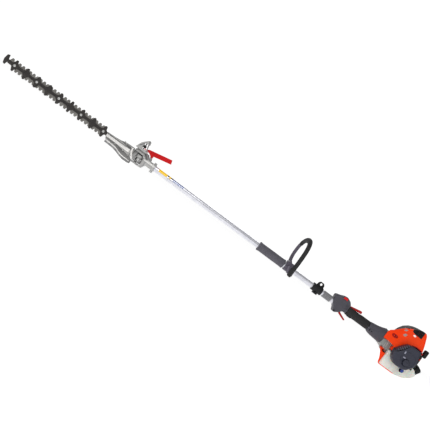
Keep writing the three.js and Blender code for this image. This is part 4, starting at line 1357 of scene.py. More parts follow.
@dataclass
class PoleClamp(SubAssembly):
    """The fork that holds the knuckle on the pole, with its locking pin and squeeze lever."""

    title = "pole clamp"
    pivot: float = -428
    pin_y: float = -19
    knob_bottom: float = 47.5
    knob_height: float = 11
    knob_radius: float = 7.5

    def knob(self) -> Solid:
        """Builds the fluted knob on the locking pin."""
        z, top, r = self.knob_bottom, self.knob_bottom + self.knob_height, self.knob_radius
        body = Solid.turned(
            [(z, r - 1.2), (z + 0.8, r), (top - 1.6, r), (top, r - 1.8)], Axis.Z, (self.pivot, self.pin_y, 0),
            40
        )
        flute = Solid.rod(
            Axis.Z, (self.pivot + r + 0.35, self.pin_y, z - 1), self.knob_height + 2, 0.9, steps=10
        )
        ring = flute.repeated(14, turn=(0, 0, 360 / 14), centre=(self.pivot, self.pin_y, 0))
        pin = Solid.rod(Axis.Z, (self.pivot, self.pin_y, 27.9), 42.6, 2.5, steps=24)
        return body.cut(ring).joined(pin)

    def lever(self) -> Solid:
        """Builds the squeeze lever with its hollow side panels."""
        lever = Solid.of_node("head_lever")
        panel = fillet([(-392, 45.4), (-300, 63.8), (-303, 72.6), (-394, 53)], 3)
        near = Solid.prism(panel, -10, -6.4)
        far = Solid.prism(panel, 6.4, 10)
        return lever.cut(near, far).rounded(1.5, 3)

    def clamp(self) -> Solid:
        """Builds the fork with cooling-style ribs on its tower."""
        fork = Solid.of_node("yoke_clamp")
        groove = Solid.block((-452, -30, 49), (-440, -24.8, 50.6)).rotated(Axis.Y, -38, (-446, -27, 50))
        rows = groove.repeated(4, (4.2, 0, 5.6))
        window = Solid.prism(fillet([(-431, 61), (-422, 76), (-419, 75), (-417, 61)], 1.5, 3), -40, 0)
        return fork.cut(rows, window).rounded(1.0, 3)

    def boot(self) -> Solid:
        """Builds the curved shield inside the knuckle, which stays with the pole."""
        tube = Solid.turned(
            [(-5.6, 19.4), (-5.6, 21.4), (9.6, 21.4), (9.6, 19.4), (-5.6, 19.4)], Axis.Z, (self.pivot, 0, 0),
            64
        )
        wedge = [(self.pivot, 0)] + [
            (self.pivot + 60 * math.cos(math.radians(a)), 60 * math.sin(math.radians(a)))
            for a in range(62, 254, 8)
        ]
        gap = Solid.prism(wedge, -20, 20, Axis.Z)
        neck = Solid.block((self.pivot + 20.6, -6, -13), (self.pivot + 32.6, 6, 13))
        shaft = Solid.rod(Axis.X, (self.pivot + 8, 0, 0), 40, 6.4, steps=24)
        return tube.cut(gap).joined(neck).cut(shaft)

    def build(self) -> None:
        """Builds and dresses the clamp."""
        self.dress("knuckle_boot", self.boot(), MID_ALLOY, "machine")
        self.dress("yoke_clamp_piece", self.clamp(), MID_ALLOY, "machine", ["yoke_clamp"])
        # painted highlight: a bright strip along the clamp's near face
        strip = Solid.pillow(
            fillet([(-396, 1), (-396, 9), (-338.6, 9), (-338.6, 1)], 1.5, 3), -18.2, -16.4, 0.8, 0.2, 2
        )
        self.dress("yoke_strip", strip, HIGHLIGHT_PAINTED_ALLOY, "machine")
        # painted shade: a dark strip along the top of the clamp's near face
        shade = fillet([(-385, 10.2), (-385, 16), (-351, 15.4), (-351, 10.2)], 1, 3)
        self.dress("yoke_ridge", Solid.pillow(shade, -18.4, -16.4, 0.8, 0.2, 2), SHADE_PAINTED_ALLOY, "machine")
        leg = [(-424, 84), (-420.6, 86.4), (-417, 84), (-411.4, 60), (-404.6, 37), (-410, 36), (-416, 58)]
        self.dress(
            "tower_leg", Solid.pillow(leg, -29.8, -26.8, 0.9, 0.2, 3, corner=1.6), MID_ALLOY, "machine"
        )
        # painted shade: the brace is a dark band in the darker alloy copy
        brace = [(-414, 35), (-406, 36), (-386, 14), (-386, 6), (-394, 10)]
        self.dress(
            "yoke_brace", Solid.pillow(fillet(brace, 2, 3), -20, -15.5, 1.2, 0.3, 3), SHADE_PAINTED_ALLOY, "machine"
        )
        self.refine("pivot_bolt", SCREW_STEEL, 0.5, "machine")
        self.refine("yoke_screw", SCREW_STEEL, 0.4, "machine")
        self.dress("lock_pin_piece", self.knob(), BLACK, "lock_pin", ["lock_pin"])
        self.dress("head_lever_piece", self.lever(), LEVER_RED, "head_lever", ["head_lever"])


@dataclass
class Pole(SubAssembly):
    """The shaft tube with its printed bands, sleeves, loop handle and harness clamp."""

    title = "pole"
    radius: float = 12.7
    bore: float = 10.7
    front: float = -398
    rear: float = 866

    def band(self, start: float, end: float, low: float, high: float, lift: float = 0.14) -> Solid:
        """Builds a printed film on the tube.

        Args:
            start: Where it starts along the tube.
            end: Where it ends.
            low: Its first edge round the tube, in degrees from the far side over the top.
            high: Its second edge.
            lift: How thick it is.

        Returns:
            The film.
        """
        turns = [math.radians(low + (high - low) * i / 24) for i in range(25)]
        outer = [((self.radius + lift) * math.cos(t), (self.radius + lift) * math.sin(t)) for t in turns]
        inner = [
            ((self.radius - 0.1) * math.cos(t), (self.radius - 0.1) * math.sin(t))
            for t in reversed(turns)
        ]
        return Solid.prism(outer + inner, start, end, Axis.X)

    def foam(self) -> Solid:
        """Builds the foam sleeve with its rolled ends."""
        profile = [
            (243, 13), (243, 19.6), (244.5, 21), (247, 21.5), (250.5, 21.2), (254, 20.2), (262, 19.9),
            (313, 20.2)
        ]
        profile += [
            (366, 19.9), (374, 20.3), (378, 21.2), (381, 21.4), (383.4, 20.4), (384, 19), (384, 13), (243, 13)
        ]
        return Solid.turned(profile, Axis.X, steps=72)

    def ribbed(self) -> Solid:
        """Builds the ribbed sleeve."""
        sleeve = Solid.turned(
            [(604, 13), (604, 15.2), (604.6, 15.8), (646.4, 15.8), (647, 15.2), (647, 13), (604, 13)], Axis.X,
            steps=64
        )
        groove = Solid.turned(
            [(609, 14.4), (609, 17), (611.4, 17), (611.4, 14.4), (609, 14.4)], Axis.X, steps=64
        )
        return sleeve.cut(groove.repeated(6, (6, 0, 0)))

    def build(self) -> None:
        """Builds and dresses the pole."""
        r, b = self.radius, self.bore
        wall = [
            (self.front, b), (self.front, r - 0.4), (self.front + 0.4, r), (self.rear - 0.4, r),
            (self.rear, r - 0.4), (self.rear, b), (self.front, b)
        ]
        self.dress(
            "shaft_tube_piece", Solid.turned(wall, Axis.X, steps=80), TUBE_ALLOY, "machine", ["shaft_tube"]
        )
        self.dress("yellow_band", self.band(-316, -271, 62, 178), YELLOW_LABEL, "machine")
        dark = Solid.together(self.band(-270.6, -262, 62, 150), self.band(-250, -240, 60, 150))
        self.dress("dark_band", dark, BLACK_LABEL, "machine")
        self.dress("small_yellow_band", self.band(-260, -251, 62, 165), YELLOW_LABEL, "machine")
        mark = self.band(-236, -232.4, 118, 176).repeated(8, (7.4, 0, 0))
        self.dress("blue_marks", mark, BLUE_LABEL, "machine")
        self.dress("foam_sleeve_piece", self.foam(), SLEEVE, "machine", ["foam_sleeve"])
        self.refine("loop_frame", LOOP_GREY, 1.8, "machine")
        self.dress(
            "loop_grip_piece", Solid.of_node("loop_grip").rounded(3.2, 4, 28), RUBBER, "machine",
            ["loop_grip"], 50
        )
        self.dress(
            "loop_screw_piece", screw_head(Axis.Z, (399, 6, 26.2), 4, 3, 1.9), SCREW_STEEL, "machine",
            ["loop_screw"]
        )
        self.refine("harness_clamp", BLACK, 1.2, "machine")
        self.refine("harness_screw", BLACK, 0.4, "machine")
        self.dress("ribbed_sleeve_piece", self.ribbed().rounded(0.3, 2), RIBBED, "machine", ["ribbed_sleeve"])
        self.keep("drive_shaft", STEEL)


@dataclass
class ControlHandle(SubAssembly):
    """The throttle housing in two shells, its trigger, lockout, stop switch and the grip behind it."""

    title = "control handle"
    half: float = 19
    tube: float = 12.9
    outline: Outline = (
        (650, 30), (655, 37), (675, 42), (690, 49), (702, 52), (722, 43), (734, 30), (734, -13), (716, -14),
        (705, -27), (688, -38), (680, -38), (672, -20), (660, -8), (653, 14)
    )
    inside: Outline = (
        (656, 28), (676, 37), (701, 46), (729, 28), (729, -8), (712, -10), (686, -31), (677, -16), (664, -5)
    )

    def housing(self) -> Solid:
        """Builds the whole housing before it is parted in two."""
        body = Solid.pillow(self.outline, -self.half, self.half, 3.4, 3.4, 5, corner=5)
        tools = [
            Solid.prism(self.inside, -15.6, 15.6),
            Solid.rod(Axis.X, (640, 0, 0), 120, self.tube, steps=48),
            Solid.block((697, -6, -34), (740, 6, -6)),
            Solid.block((722, -7, 18), (740, 7, 46)),
            Solid.rod(Axis.Y, (657.5, -30, 33.5), 60, 2, steps=20),
            Solid.block((690, -25, 39.5), (709, -10, 43.5)),
            Solid.rod(Axis.Y, (682, -30, -32), 20, 2.4, steps=20),
            Solid.rod(Axis.Y, (708, -9.4, -21.5), 18.8, 3.3, steps=24),
        ]
        ribs = Solid.block((716, -22, 2), (717.4, -18.3, 26)).repeated(5, (3, 0, 0))
        far = Solid.block((716, 18.3, 2), (717.4, 22, 26)).repeated(5, (3, 0, 0))
        return body.cut(*tools, ribs, far)

    def shells(self) -> tuple[Solid, Solid]:
        """Parts the housing along its middle."""
        whole = self.housing()
        near = whole.common(Solid.block((600, -60, -100), (800, -0.15, 100)))
        far = whole.common(Solid.block((600, 0.15, -100), (800, 60, 100)))
        return near, far

    def grip(self) -> Solid:
        """Builds the ribbed rear grip."""
        rings = []
        for i in range(117):
            x = 736 + i
            rib = 0.55 * max(0.0, math.sin((x - 752) * math.pi / 2.9)) if 754 < x < 838 else 0
            end = 1.6 * max(0.0, 1 - (x - 736) / 2.2) + 1.6 * max(0.0, 1 - (852 - x) / 2.2)
            tall = 21.4 - 0.9 * min(1, (x - 736) / 60) - rib - end
            wide = 18.6 - 0.8 * min(1, (x - 736) / 60) - rib - end
            angles = [2 * math.pi * k / 56 for k in range(56)]
            rings.append([(x, wide * math.cos(a), 4.6 + tall * math.sin(a)) for a in angles])
        bump = Solid.pillow(fillet([(741, -6), (749, -19), (767, -19), (780, -6)], 4, 4), -9, 9, 3, 3, 4)
        tools = [
            Solid.rod(Axis.X, (730, 0, 0), 140, self.tube, steps=48),
            Solid.block((730, -7, 20.5), (800, 7, 40)),
            Solid.block((730, -7, 14), (742, 7, 40)),
        ]
        return Solid.loft(rings).joined(bump).cut(*tools)

    def build(self) -> None:
        """Builds and dresses the handle."""
        near, far = self.shells()
        self.dress("handle_shell_left_piece", near, DARK_GREY, "machine", ["handle_shell_left"])
        self.dress("handle_shell_right_piece", far, DARK_GREY, "machine", ["handle_shell_right"])
        self.dress(
            "handle_screw_piece", screw_head(Axis.Y, (682, -19.2, -32), 3.8, -2, 1.8), BLACK, "machine",
            ["handle_screw"]
        )
        self.dress("rear_grip_piece", self.grip(), RUBBER, "machine", ["rear_grip"])
        self.refine("throttle_trigger", DARK_RED, 1.6, "throttle_trigger")
        wedge = [(737, 21.6), (741, 28.6), (793, 38.6), (797, 34), (797, 25.8), (744, 22)]
        lockout = Solid.pillow(wedge, -6, 6, 1.4, 1.4, 3, corner=1.6)
        self.dress("lockout_lever_piece", lockout, DARK_RED, "lockout_lever", ["lockout_lever"])
        ridges = Solid.block((689, -25, 36), (689.8, -23.2, 48)).repeated(6, (3, 0, 0))
        self.refine("stop_switch", LEVER_RED, 0.8, "stop_switch", cut=[ridges])


@dataclass
class Drive(SubAssembly):
    """The flared coupling behind the grip, the clutch and its light grey housing."""

    title = "drive"
    flare: Sequence[tuple[float, float, float]] = (
        (854, 25.6, -15.2),
        (858, 26.6, -18.6),
        (866, 28, -22),
        (880, 30, -25),
        (896, 33, -26.8),
        (912, 37.4, -28.2),
        (924, 41.6, -29.2),
        (930, 44, -30),
    )

    def cone(self) -> Solid:
        """Builds the flared coupling, bored through, with a narrow slit in its near side."""
        rings = []
        stations = spline([(x, top, low) for x, top, low in self.flare], 4)
        for x, top, low in stations:
            middle, tall = (top + low) / 2, (top - low) / 2
            wide = tall * 0.93
            angles = [math.tau * k / 64 for k in range(64)]
            rings.append([(x, wide * math.cos(a), middle + tall * math.sin(a)) for a in angles])
        tools = [
            Solid.rod(Axis.X, (908, 0, 0), 40, 21.5, steps=40),
            Solid.rod(Axis.X, (884, 0, 0), 30, 9, steps=32),
            Solid.rod(Axis.X, (850, 0, 0), 40, 12.9, steps=40),
            Solid.block((848, -40, -0.6), (878, -10, 0.6)),
        ]
        return Solid.loft(rings).cut(*tools)

    def build(self) -> None:
        """Builds and dresses the coupling and clutch."""
        self.dress(
            "clutch_cone_piece", self.cone().rounded(0.6, 2, 40), DARK_GREY, "machine", ["clutch_cone"]
        )
        clamp = Solid.together(*(screw_head(Axis.Y, (x, -21.4, -7.5), 2.8, -2.2, 1.3) for x in (862, 873)))
        self.dress("coupling_screws", clamp, BLACK, "machine")
        ribs = Solid.block((952, -36, -30), (954.4, -33.2, 1)).repeated(4, (8, 0, 0))
        self.refine("clutch_housing", HOUSING_GREY, 2.2, "machine", cut=[ribs])
        self.keep("clutch_drum", STEEL)
        self.keep("clutch_shoes", STEEL)


@dataclass
class Engine(SubAssembly):
    """Crankcase, cylinder, spark plug, exhaust and the parts that turn inside."""

    title = "engine"

    def build(self) -> None:
        """Builds and dresses the engine."""
        self.refine("crankcase", ALLOY, 1.5, "machine")
        corner = Solid.prism([(984, -20), (990, -16), (1011, 31), (984, 31)], 70, 90, Axis.Z)
        self.refine("cylinder", ALLOY, 0.5, "machine", cut=[corner])
        plug = Solid.of_node("spark_plug")
        self.dress("spark_plug_piece", plug.rounded(0.5, 2), SCREW_STEEL, "machine", ["spark_plug"])
        self.refine("muffler", GRILLE_BLACK, 2, "machine")
        self.refine("muffler_guard", GRILLE_BLACK, 2.4, "machine")
        self.keep("piston", ALLOY)
        self.keep("crankshaft", STEEL)
        self.keep("flywheel", ALLOY)


@dataclass
class Covers(SubAssembly):
    """The orange cylinder cover with its painted highlight patches and painted shade ring, its black grille
    and the orange front guard.
    """

    title = "covers"
    near: float = -60
    far: float = 30
    slant: float = 0.4
    below: Outline = (
        (900, 5), (950, 4), (976, -1), (980, -6), (992, 4), (1004, 18), (1019, 33), (1031, 44), (1044, 52),
        (1063, 56), (1080, 55), (1130, 41), (1130, -60), (900, -60)
    )
    crown: Outline = (
        (923, -40), (922, 32), (926, 47), (939, 58), (956, 77), (972, 94), (990, 104), (1009, 114),
        (1028, 123), (1044, 128), (1062, 128), (1070, 120), (1085, 84), (1096, 50), (1118, -40)
    )
    inside: Outline = (
        (927, 0), (926, 31), (930, 44), (942, 54), (960, 74), (975, 90), (993, 100), (1012, 110), (1030, 119),
        (1046, 124), (1059, 124), (1066, 117), (1081, 84), (1092, 40), (1094, -20), (927, -20)
    )
    grille: Outline = ((1003, 100), (1021, 95), (1054, 94), (1054, 135), (1003, 135))

    def narrowing(self, place: Vector) -> Vector:
        """Draws the near side in towards the nose and slants the front so that its far side lies further
        back.

        Args:
            place: A point of the cover.

        Returns:
            Its new place.
        """
        slant = min(1.0, max(0.0, (1064 - place.x) / 84))
        place.x += self.slant * (place.y - self.near) * slant * slant * (3 - 2 * slant)
        if place.y < 0:
            share = min(1.0, max(0.0, (place.x - 930) / 66))
            place.y *= 0.67 + 0.33 * share * share * (3 - 2 * share)
        return place

    def body(self, edge: float, near: float, far: float) -> Solid:
        """Builds the cover's full form before it is hollowed.

        Args:
            edge: How round its near edge is.
            near: Its near face's y.
            far: Its far face's y.

        Returns:
            The form.
        """
        rolled = Solid.pillow(self.crown, near, far, edge, 4, 7, corner=5)
        return rolled.cut(Solid.prism(self.below, near - 5, far + 5))

    def bent(self, form: Solid) -> Solid:
        """Gives a straight form the cover's narrowing nose."""
        return form.sliced(Axis.X, 936, 1090, 9).sliced(Axis.Y, 0, 1, 5).shaped(self.narrowing)

    def shell(self) -> Solid:
        """Builds the hollow cover with its grille opening, its dent and a seat for the coupling."""
        hollow = Solid.prism(self.inside, -55.5, 40)
        plain_side = Solid.prism([(900, -30), (900, 30), (1110, 48), (1110, -30)], -30, 45)
        mouth = Solid.prism(self.grille, -70, 50)
        dent = Solid.turned([(-60, 10), (-46, 8), (-44, 6.6)], Axis.Y, (958, 0, 39), 40, 1.5)
        straight = self.body(9, self.near, self.far).cut(hollow, plain_side, mouth)
        coupling = Solid.turned([(912, 32.8), (930.2, 37.4)], Axis.X, (0, 0, 6.8), 48, 0.93)
        return self.bent(straight).cut(dent, coupling)

    def on_side(self, outline: Outline, lift: float = 0.35) -> Solid:
        """Builds a thin patch that follows the cover's near face; each one here is a painted highlight.

        Args:
            outline: Its outline in (x, z).
            lift: How far it stands proud.

        Returns:
            The patch.
        """
        plate = Solid.prism(outline, self.near - lift, self.near + 1.2)
        return plate.shaped(self.narrowing)

    def lid(self) -> Solid:
        """Builds the slotted black grille in the cover's top."""
        gap = 0.3
        room = Solid.prism([(x + (gap if x < 1030 else -gap), z + gap) for x, z in self.grille], -70, 40)
        top = self.body(9, self.near + 0.8, self.far - 1).common(room)
        inner = Solid.prism(
            [(995, 80), (995, 98), (1012, 106.6), (1030, 116.6), (1045, 123.5), (1070, 123.5), (1070, 80)],
            -55, 25
        )
        slots = Solid.block((1009, -50, 98), (1012.5, 22, 140)).repeated(6, (7.4, 0, 0))
        sides = Solid.block((1012, -70, 99), (1047, -54, 101.4)).repeated(4, (1.5, 0, 5.2))
        return self.bent(top.cut(inner, slots, sides))

    def build(self) -> None:
        """Builds and dresses the covers."""
        self.dress("cylinder_cover_piece", self.shell(), ORANGE, "machine", ["cylinder_cover"], 42)
        self.dress("cover_grille_piece", self.lid(), GRILLE_BLACK, "machine", ["cover_grille"])
        # painted shade: a dark red ring in the dent where its hollow lies in shade
        cup = Solid.turned(
            [(-46.6, 8.2), (-45.6, 8.8), (-41, 8.8), (-41, 3.4), (-44.4, 3.4), (-46.6, 8.2)], Axis.Y,
            (958, 0, 39), 40, 1.5
        )
        self.dress("cover_dent", cup, DARK_RED, "machine")
        # painted highlights: two pale grey patches on the cover's near face
        greys = Solid.together(
            self.on_side(fillet([(971, 82), (977, 92), (986, 93), (981, 83)], 1)),
            self.on_side(fillet([(978, 62), (984, 75), (995, 74), (990, 61)], 1)),
        )
        self.dress("grey_badges", greys, PAINTED_HIGHLIGHT_GREY, "machine")
        # painted highlight: a white patch on the cover's near face
        self.dress("white_badge", self.on_side(circle(7, 40, (1022, 89), 0.56)), PAINTED_HIGHLIGHT_WHITE, "machine")
        lip = [
            (1024, 38), (1038, 47), (1060, 51), (1084, 49.4), (1092, 46), (1093, 54), (1086, 58), (1063, 60),
            (1043, 56), (1028, 46)
        ]
        self.dress("cover_lip", Solid.pillow(fillet(lip, 2, 3), -57, -50, 1.4, 0.6, 3), LEVER_RED, "machine")
        notch = Solid.prism([(920, -28), (934, -37), (952, -49.6), (980, -47.6), (980, -28)], -80, -34.4)
        self.refine("front_guard", ORANGE, 1.8, "machine", cut=[notch])
        track = [(965.5, -51), (974, -58.6), (1042, -58.6), (1042, 58.6), (1014, 58.6)]
        skid = Solid.prism(fillet(track, 2, 3), -102.2, -99.4, Axis.Z).rounded(0.7, 2)
        self.dress("tank_skid", skid, ORANGE, "machine")
        foot = Solid.pillow(
            fillet([(978, -2), (990, -9), (988, -22), (974, -20)], 1.5, 3), -62, -36.4, 1.2, 0.5, 3
        )
        self.dress("cover_foot", foot, ORANGE, "machine")


@dataclass
class FuelSystem(SubAssembly):
    """Tank and cap, carburettor, filter with its cover, primer and choke."""

    title = "fuel system"
    seat: Point = (1132, -4, -42.7)
    lean: float = 33.7
    cover: Outline = (
        (974, -6), (977, -33), (985, -47), (996, -57), (1010, -63.5), (1048, -62), (1062, -55), (1072, -43),
        (1082, -30), (1086, -6), (1080, 14), (1071, 46), (1032, 47), (1014, 42), (1000.5, 28), (987, 10)
    )
    corner: Outline = (
        (968, -14), (970, -2), (983, 16), (998, 35), (1011, 48), (1024, 51), (1019, 41), (1012, 27),
        (1003, 10), (991, -3), (980, -13)
    )
    knob_at: Point = (1040, 0, -29)
    primer_at: Point = (1062, 0, -67)

    def tank(self) -> Solid:
        """Builds the tank with a rounded shoulder on its near side."""
        tank = Solid.of_node("fuel_tank")
        profile = [(969.5, -60), (970.5, -31), (975, -26), (981, -28), (988, -43), (990, -60)]
        shoulder = Solid.pillow(profile, -57.6, -38, 2.4, 1, 4, corner=3)
        return tank.joined(shoulder).rounded(2.2, 3, 30)

    def cap(self) -> Solid:
        """Builds the fluted cap with a ring groove in its top."""
        body = Solid.turned(
            [(1.2, 18.6), (2, 19.6), (4, 19.9), (29, 18.9), (31.6, 18), (33, 16.2), (33.2, 8)], Axis.Z,
            steps=64
        )
        flute = Solid.rod(Axis.Z, (19.9, 0, 5), 40, 1.4, steps=12).repeated(20, turn=(0, 0, 18))
        room = Solid.rod(Axis.Z, (0, 0, -1), 13, 13.3, steps=40)
        ring = Solid.turned([(32.4, 9.5), (34, 9.5), (34, 11), (32.4, 11), (32.4, 9.5)], Axis.Z, steps=48)
        cap = body.cut(flute, room, ring).rounded(0.4, 2)
        return cap.rotated(Axis.Y, self.lean).moved(*self.seat)

    def filter_cover(self) -> Solid:
        """Builds the filter's cover: a rounded shell with a louvred corner and a sunk knob seat."""
        outer = Solid.pillow(self.cover, -98, -66, 9, 0.8, 8, corner=6)
        hollow = Solid.pillow(inset(self.cover, 3.4), -94.4, -60, 7, 0.2, 5, corner=5)
        louvres = Solid.prism(fillet(self.corner, 2, 3), -110, -93.4)
        seat = Solid.turned([(-120, 17.6), (-98, 17.2), (-96.4, 15.4)], Axis.Y, self.knob_at, 56)
        post = Solid.rod(Axis.Y, (1040, -110, -29), 30, 4.5, steps=32)
        crease = Solid.turned(
            [(-99, 33.2), (-97.2, 32.6), (-97.2, 31.6), (-99, 31), (-99, 33.2)], Axis.Y, (1040, 0, -14), 72
        )
        return outer.cut(hollow, louvres, seat, crease, post)

    def louvres(self) -> Solid:
        """Builds the slanted fins in the cover's corner."""
        fin = Solid.block((-16, -96.6, -1.2), (16, -92.8, 1.2)).rotated(Axis.Y, 34).moved(990, 0, -4)
        fins = fin.repeated(6, (4.4, 0, 8.4))
        return fins.common(Solid.prism(inset(self.corner, 3), -98, -90))

    def knob(self) -> Solid:
        """Builds the cover's screw knob."""
        body = Solid.turned(
            [(-99.2, 13.6), (-100, 14), (-102.6, 13.8), (-103.6, 12.6)], Axis.Y, self.knob_at, 56
        )
        bar = Solid.pillow(
            fillet([(1028, -31.8), (1028, -26.2), (1052, -26.2), (1052, -31.8)], 2.4, 4), -106.4, -103, 1.2,
            0.2, 3
        )
        post = Solid.rod(Axis.Y, (1040, -99.4, -29), 8.4, 4, steps=32)
        flute = Solid.rod(
            Axis.Y, (1054.2, -106, -29), 9, 1.3, steps=12
        ).repeated(16, turn=(0, 22.5, 0), centre=self.knob_at)
        return body.joined(bar, post).cut(flute)

    def build(self) -> None:
        """Builds and dresses the fuel system."""
        self.dress("fuel_tank_piece", self.tank(), TANK_WHITE, "machine", ["fuel_tank"], 50)
        self.dress("fuel_cap_piece", self.cap(), BLACK, "fuel_cap", ["fuel_cap"])
        self.refine("carburettor", ALLOY, 0.9, "machine")
        trim = Solid.turned(
            [(-68, 8.2), (-68, 12), (-62.5, 12), (-62.5, 8.2), (-68, 8.2)], Axis.Y, self.primer_at, 40
        )
        room = inset(self.cover, 4)
        side = Solid.prism([*room[12:], *room[:5], (990, -90), (940, -90), (940, 60), (1032, 60)], -100, -60)
        arm = Solid.block((1050, -66, -78), (1057, -61, -58.6))
        self.refine("filter_base", BLACK, 0.6, "machine", cut=[trim, side, arm])
        self.refine("filter_element", FELT, 1.0, "machine", cut=[side])
        self.dress("filter_cover_piece", self.filter_cover(), COVER_GREY, "machine", ["filter_cover"], 42)
        # painted shade: a black sheet behind the fins stands for the shade in the louvre openings
        floor = Solid.prism(self.corner, -93.2, -70).common(Solid.prism(inset(self.cover, 0.6), -100, -60))
        self.dress("filter_louvre_floor", floor, GRILLE_BLACK, "machine")
        # painted highlight: the fins take a lighter grey than the cover they belong to
        self.dress("filter_louvres", self.louvres(), LOOP_GREY, "machine")
        # painted highlights: two pale blue-grey patches on the filter cover
        marks = Solid.together(
            Solid.pillow(fillet([(1011, 0), (1011, 12), (1016, 12), (1016, 0)], 2.2), -98.5, -97, 0.4, 0, 2),
            Solid.pillow(
                fillet([(1017, -16), (1017, -11.4), (1029, -11.4), (1029, -16)], 2.2), -98.5, -97, 0.4, 0, 2
            ),
        )
        self.dress("cover_marks", marks, PAINTED_HIGHLIGHT_BLUE_GREY, "machine")
        self.dress(
            "filter_knob_piece", self.knob().rounded(0.3, 2), COVER_GREY, "filter_knob", ["filter_knob"]
        )
        step = 0.1745
        neck = [(-68.1, 5.6), (-71.3, 5.6), (-71.4, 7.3)]
        dome = neck + [(-71.7 - 2.9 * math.sin(t * step), 7.6 * math.cos(t * step)) for t in range(9)]
        bulb = Solid.turned(dome, Axis.Y, self.primer_at, 40)
        self.dress("primer_bulb_piece", bulb, BLUE, "primer_bulb", ["primer_bulb"], 60)
        self.refine("choke_lever", BLACK, 0.9, "choke_lever")
        tip = fillet([(1097.4, 13.6), (1099.6, 21.8), (1104.4, 25.4), (1104.6, 14.4)], 1.6, 3)
        self.dress("choke_tip", Solid.pillow(tip, -60.8, -55.2, 1.2, 1.2, 3), DARK_RED, "choke_lever")


@dataclass
class Starter(SubAssembly):
    """The starter's housing, its rope pulley and the pull grip."""

    title = "starter"
    grip_x: float = 1121

    def grip(self) -> Solid:
        """Builds the pull grip with its rope hole and ribs."""
        x = self.grip_x
        outline = [(x, 34), (x, 66), (x + 4, 70), (x + 14, 70), (x + 18, 66), (x + 18, 38), (x + 14, 34)]
        body = Solid.pillow(outline, -25, -3, 5, 5, 6, corner=6)
        hole = Solid.rod(Axis.Y, (x + 10, -40, 61), 60, 3.5, steps=28)
        ribs = Solid.block((x + 17, -24, 41), (x + 20, -4, 42.2)).repeated(5, (0, 0, 3.2))
        return body.cut(hole, ribs)

    def rope(self) -> Solid:
        """Builds the twisted rope between housing and grip."""
        start, length, stretches = 1055, 71, 160
        middle_y, middle_z = -14, 44
        strands, around, twist = 3, 18, 0.9
        rings = []
        for i in range(stretches + 1):
            x = start + length * i / stretches
            ring = []
            for k in range(around):
                angle = math.tau * k / around
                radius = 1.5 + 0.2 * math.cos(strands * angle - x * twist)
                ring.append((x, middle_y + radius * math.cos(angle), middle_z + radius * math.sin(angle)))
            rings.append(ring)
        return Solid.loft(rings)

    def build(self) -> None:
        """Builds and dresses the starter."""
        self.refine("starter_housing", BLACK, 2.2, "machine")
        self.keep("starter_pulley", BLACK)
        self.dress("starter_grip_piece", self.grip(), BLACK, "starter_grip", ["starter_grip"], 45)
        self.dress("starter_rope", self.rope(), ROPE_BRAID, "starter_grip")
        sleeve = Solid.turned(
            [(1115, 2.4), (1115, 4.6), (1118, 5.4), (1120.6, 5.4), (1120.6, 2.4), (1115, 2.4)], Axis.X,
            (0, -14, 44), 32
        )
        self.dress("rope_sleeve", sleeve, DARK_RED, "starter_grip")


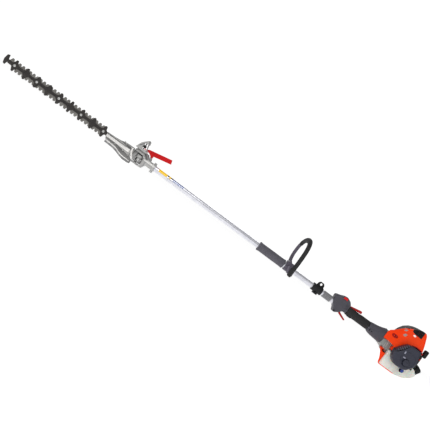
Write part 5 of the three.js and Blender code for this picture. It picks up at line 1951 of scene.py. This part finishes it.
@dataclass
class Studio:
    """The pale floor, the soft lights and the camera."""

    distance: float = 2.15
    view_width: float = 1.935
    target: Point = (0.0094, 0.00725, 0.0962)
    right: Point = (0.8035, 0.0, 0.5953)
    up: Point = (-0.5953, 0.0, 0.8035)
    surround: float = 0.42

    def camera(self) -> None:
        """Sets the camera square to the machine's side and rolled so that the shaft runs across the frame."""
        data = bpy.data.cameras.new("camera")
        data.sensor_width = 36
        data.lens = 36 * self.distance / self.view_width
        data.dof.use_dof = False
        camera = bpy.data.objects.new("camera", data)
        bpy.context.scene.collection.objects.link(camera)
        back = Vector(self.right).cross(Vector(self.up))
        turn = Matrix((self.right, self.up, tuple(back))).transposed()
        camera.matrix_world = Matrix.Translation(Vector(self.target) + back * self.distance) @ turn.to_4x4()
        bpy.context.scene.camera = camera

    def light(self, name: str, place: Point, size: float, power: float) -> None:
        """Adds a soft square light that looks at the machine.

        Args:
            name: The light's name.
            place: Its place in metres.
            size: Its side in metres.
            power: Its power in watts.
        """
        data = bpy.data.lights.new(name, "AREA")
        data.size = size
        data.energy = power
        lamp = bpy.data.objects.new(name, data)
        bpy.context.scene.collection.objects.link(lamp)
        lamp.location = place
        aim = Vector(self.target) - Vector(place)
        lamp.rotation_euler = aim.to_track_quat("-Z", "Y").to_euler()

    def floor(self) -> None:
        """Lays the pale floor."""
        data = bpy.data.meshes.new("floor")
        half, drop = 30, -0.0012
        corners = [(-half, -half, drop), (half, -half, drop), (half, half, drop), (-half, half, drop)]
        data.from_pydata(corners, [], [(0, 1, 2, 3)])
        floor = bpy.data.objects.new("floor", data)
        bpy.context.scene.collection.objects.link(floor)
        nodes = Nodes("pale_floor")
        cloud = nodes.noise(400, 2)
        colour = nodes.mix(cloud, (0.93, 0.93, 0.93, 1), (0.9, 0.9, 0.9, 1))
        glow = 0.6
        inputs = {
            "Base Color": colour, "Roughness": 0.9, "Emission Color": (1.0, 1.0, 1.0, 1.0),
            "Emission Strength": glow
        }
        data.materials.append(nodes.finish(inputs))

    def build(self) -> None:
        """Builds the studio."""
        world = bpy.data.worlds.new("studio")
        world.use_nodes = True
        tree = world.node_tree
        soft = tree.nodes["Background"]
        soft.inputs["Color"].default_value = (1.0, 1.0, 1.0, 1.0)
        soft.inputs["Strength"].default_value = self.surround
        plain = tree.nodes.new("ShaderNodeBackground")
        plain.inputs["Color"].default_value = (1.0, 1.0, 1.0, 1.0)
        plain.inputs["Strength"].default_value = 1.05
        path = tree.nodes.new("ShaderNodeLightPath")
        choice = tree.nodes.new("ShaderNodeMixShader")
        tree.links.new(path.outputs["Is Camera Ray"], choice.inputs[0])
        tree.links.new(soft.outputs[0], choice.inputs[1])
        tree.links.new(plain.outputs[0], choice.inputs[2])
        tree.links.new(choice.outputs[0], tree.nodes["World Output"].inputs["Surface"])
        bpy.context.scene.world = world
        bpy.context.scene.view_settings.view_transform = "Standard"
        self.camera()
        self.floor()
        self.light("key", (-1.0, -2.2, 2.4), 1.2, 34)
        self.light("fill", (1.6, -2.0, 0.9), 1.4, 6)
        self.light("back", (0.4, 2.2, 2.0), 1.6, 18)
        LOG.info("studio: camera, floor and lights")


def main() -> None:
    """Builds the studio and every sub-assembly."""
    logging.basicConfig(level=logging.INFO, format="%(name)s %(message)s")
    Studio().build()
    groups: list[SubAssembly] = [
        CutterBar(),
        CutterHead(),
        PoleClamp(),
        Pole(),
        ControlHandle(),
        Drive(),
        Engine(),
        Covers(),
        FuelSystem(),
        Starter(),
    ]
    for group in groups:
        group.build()


if __name__ == "__main__":
    main()
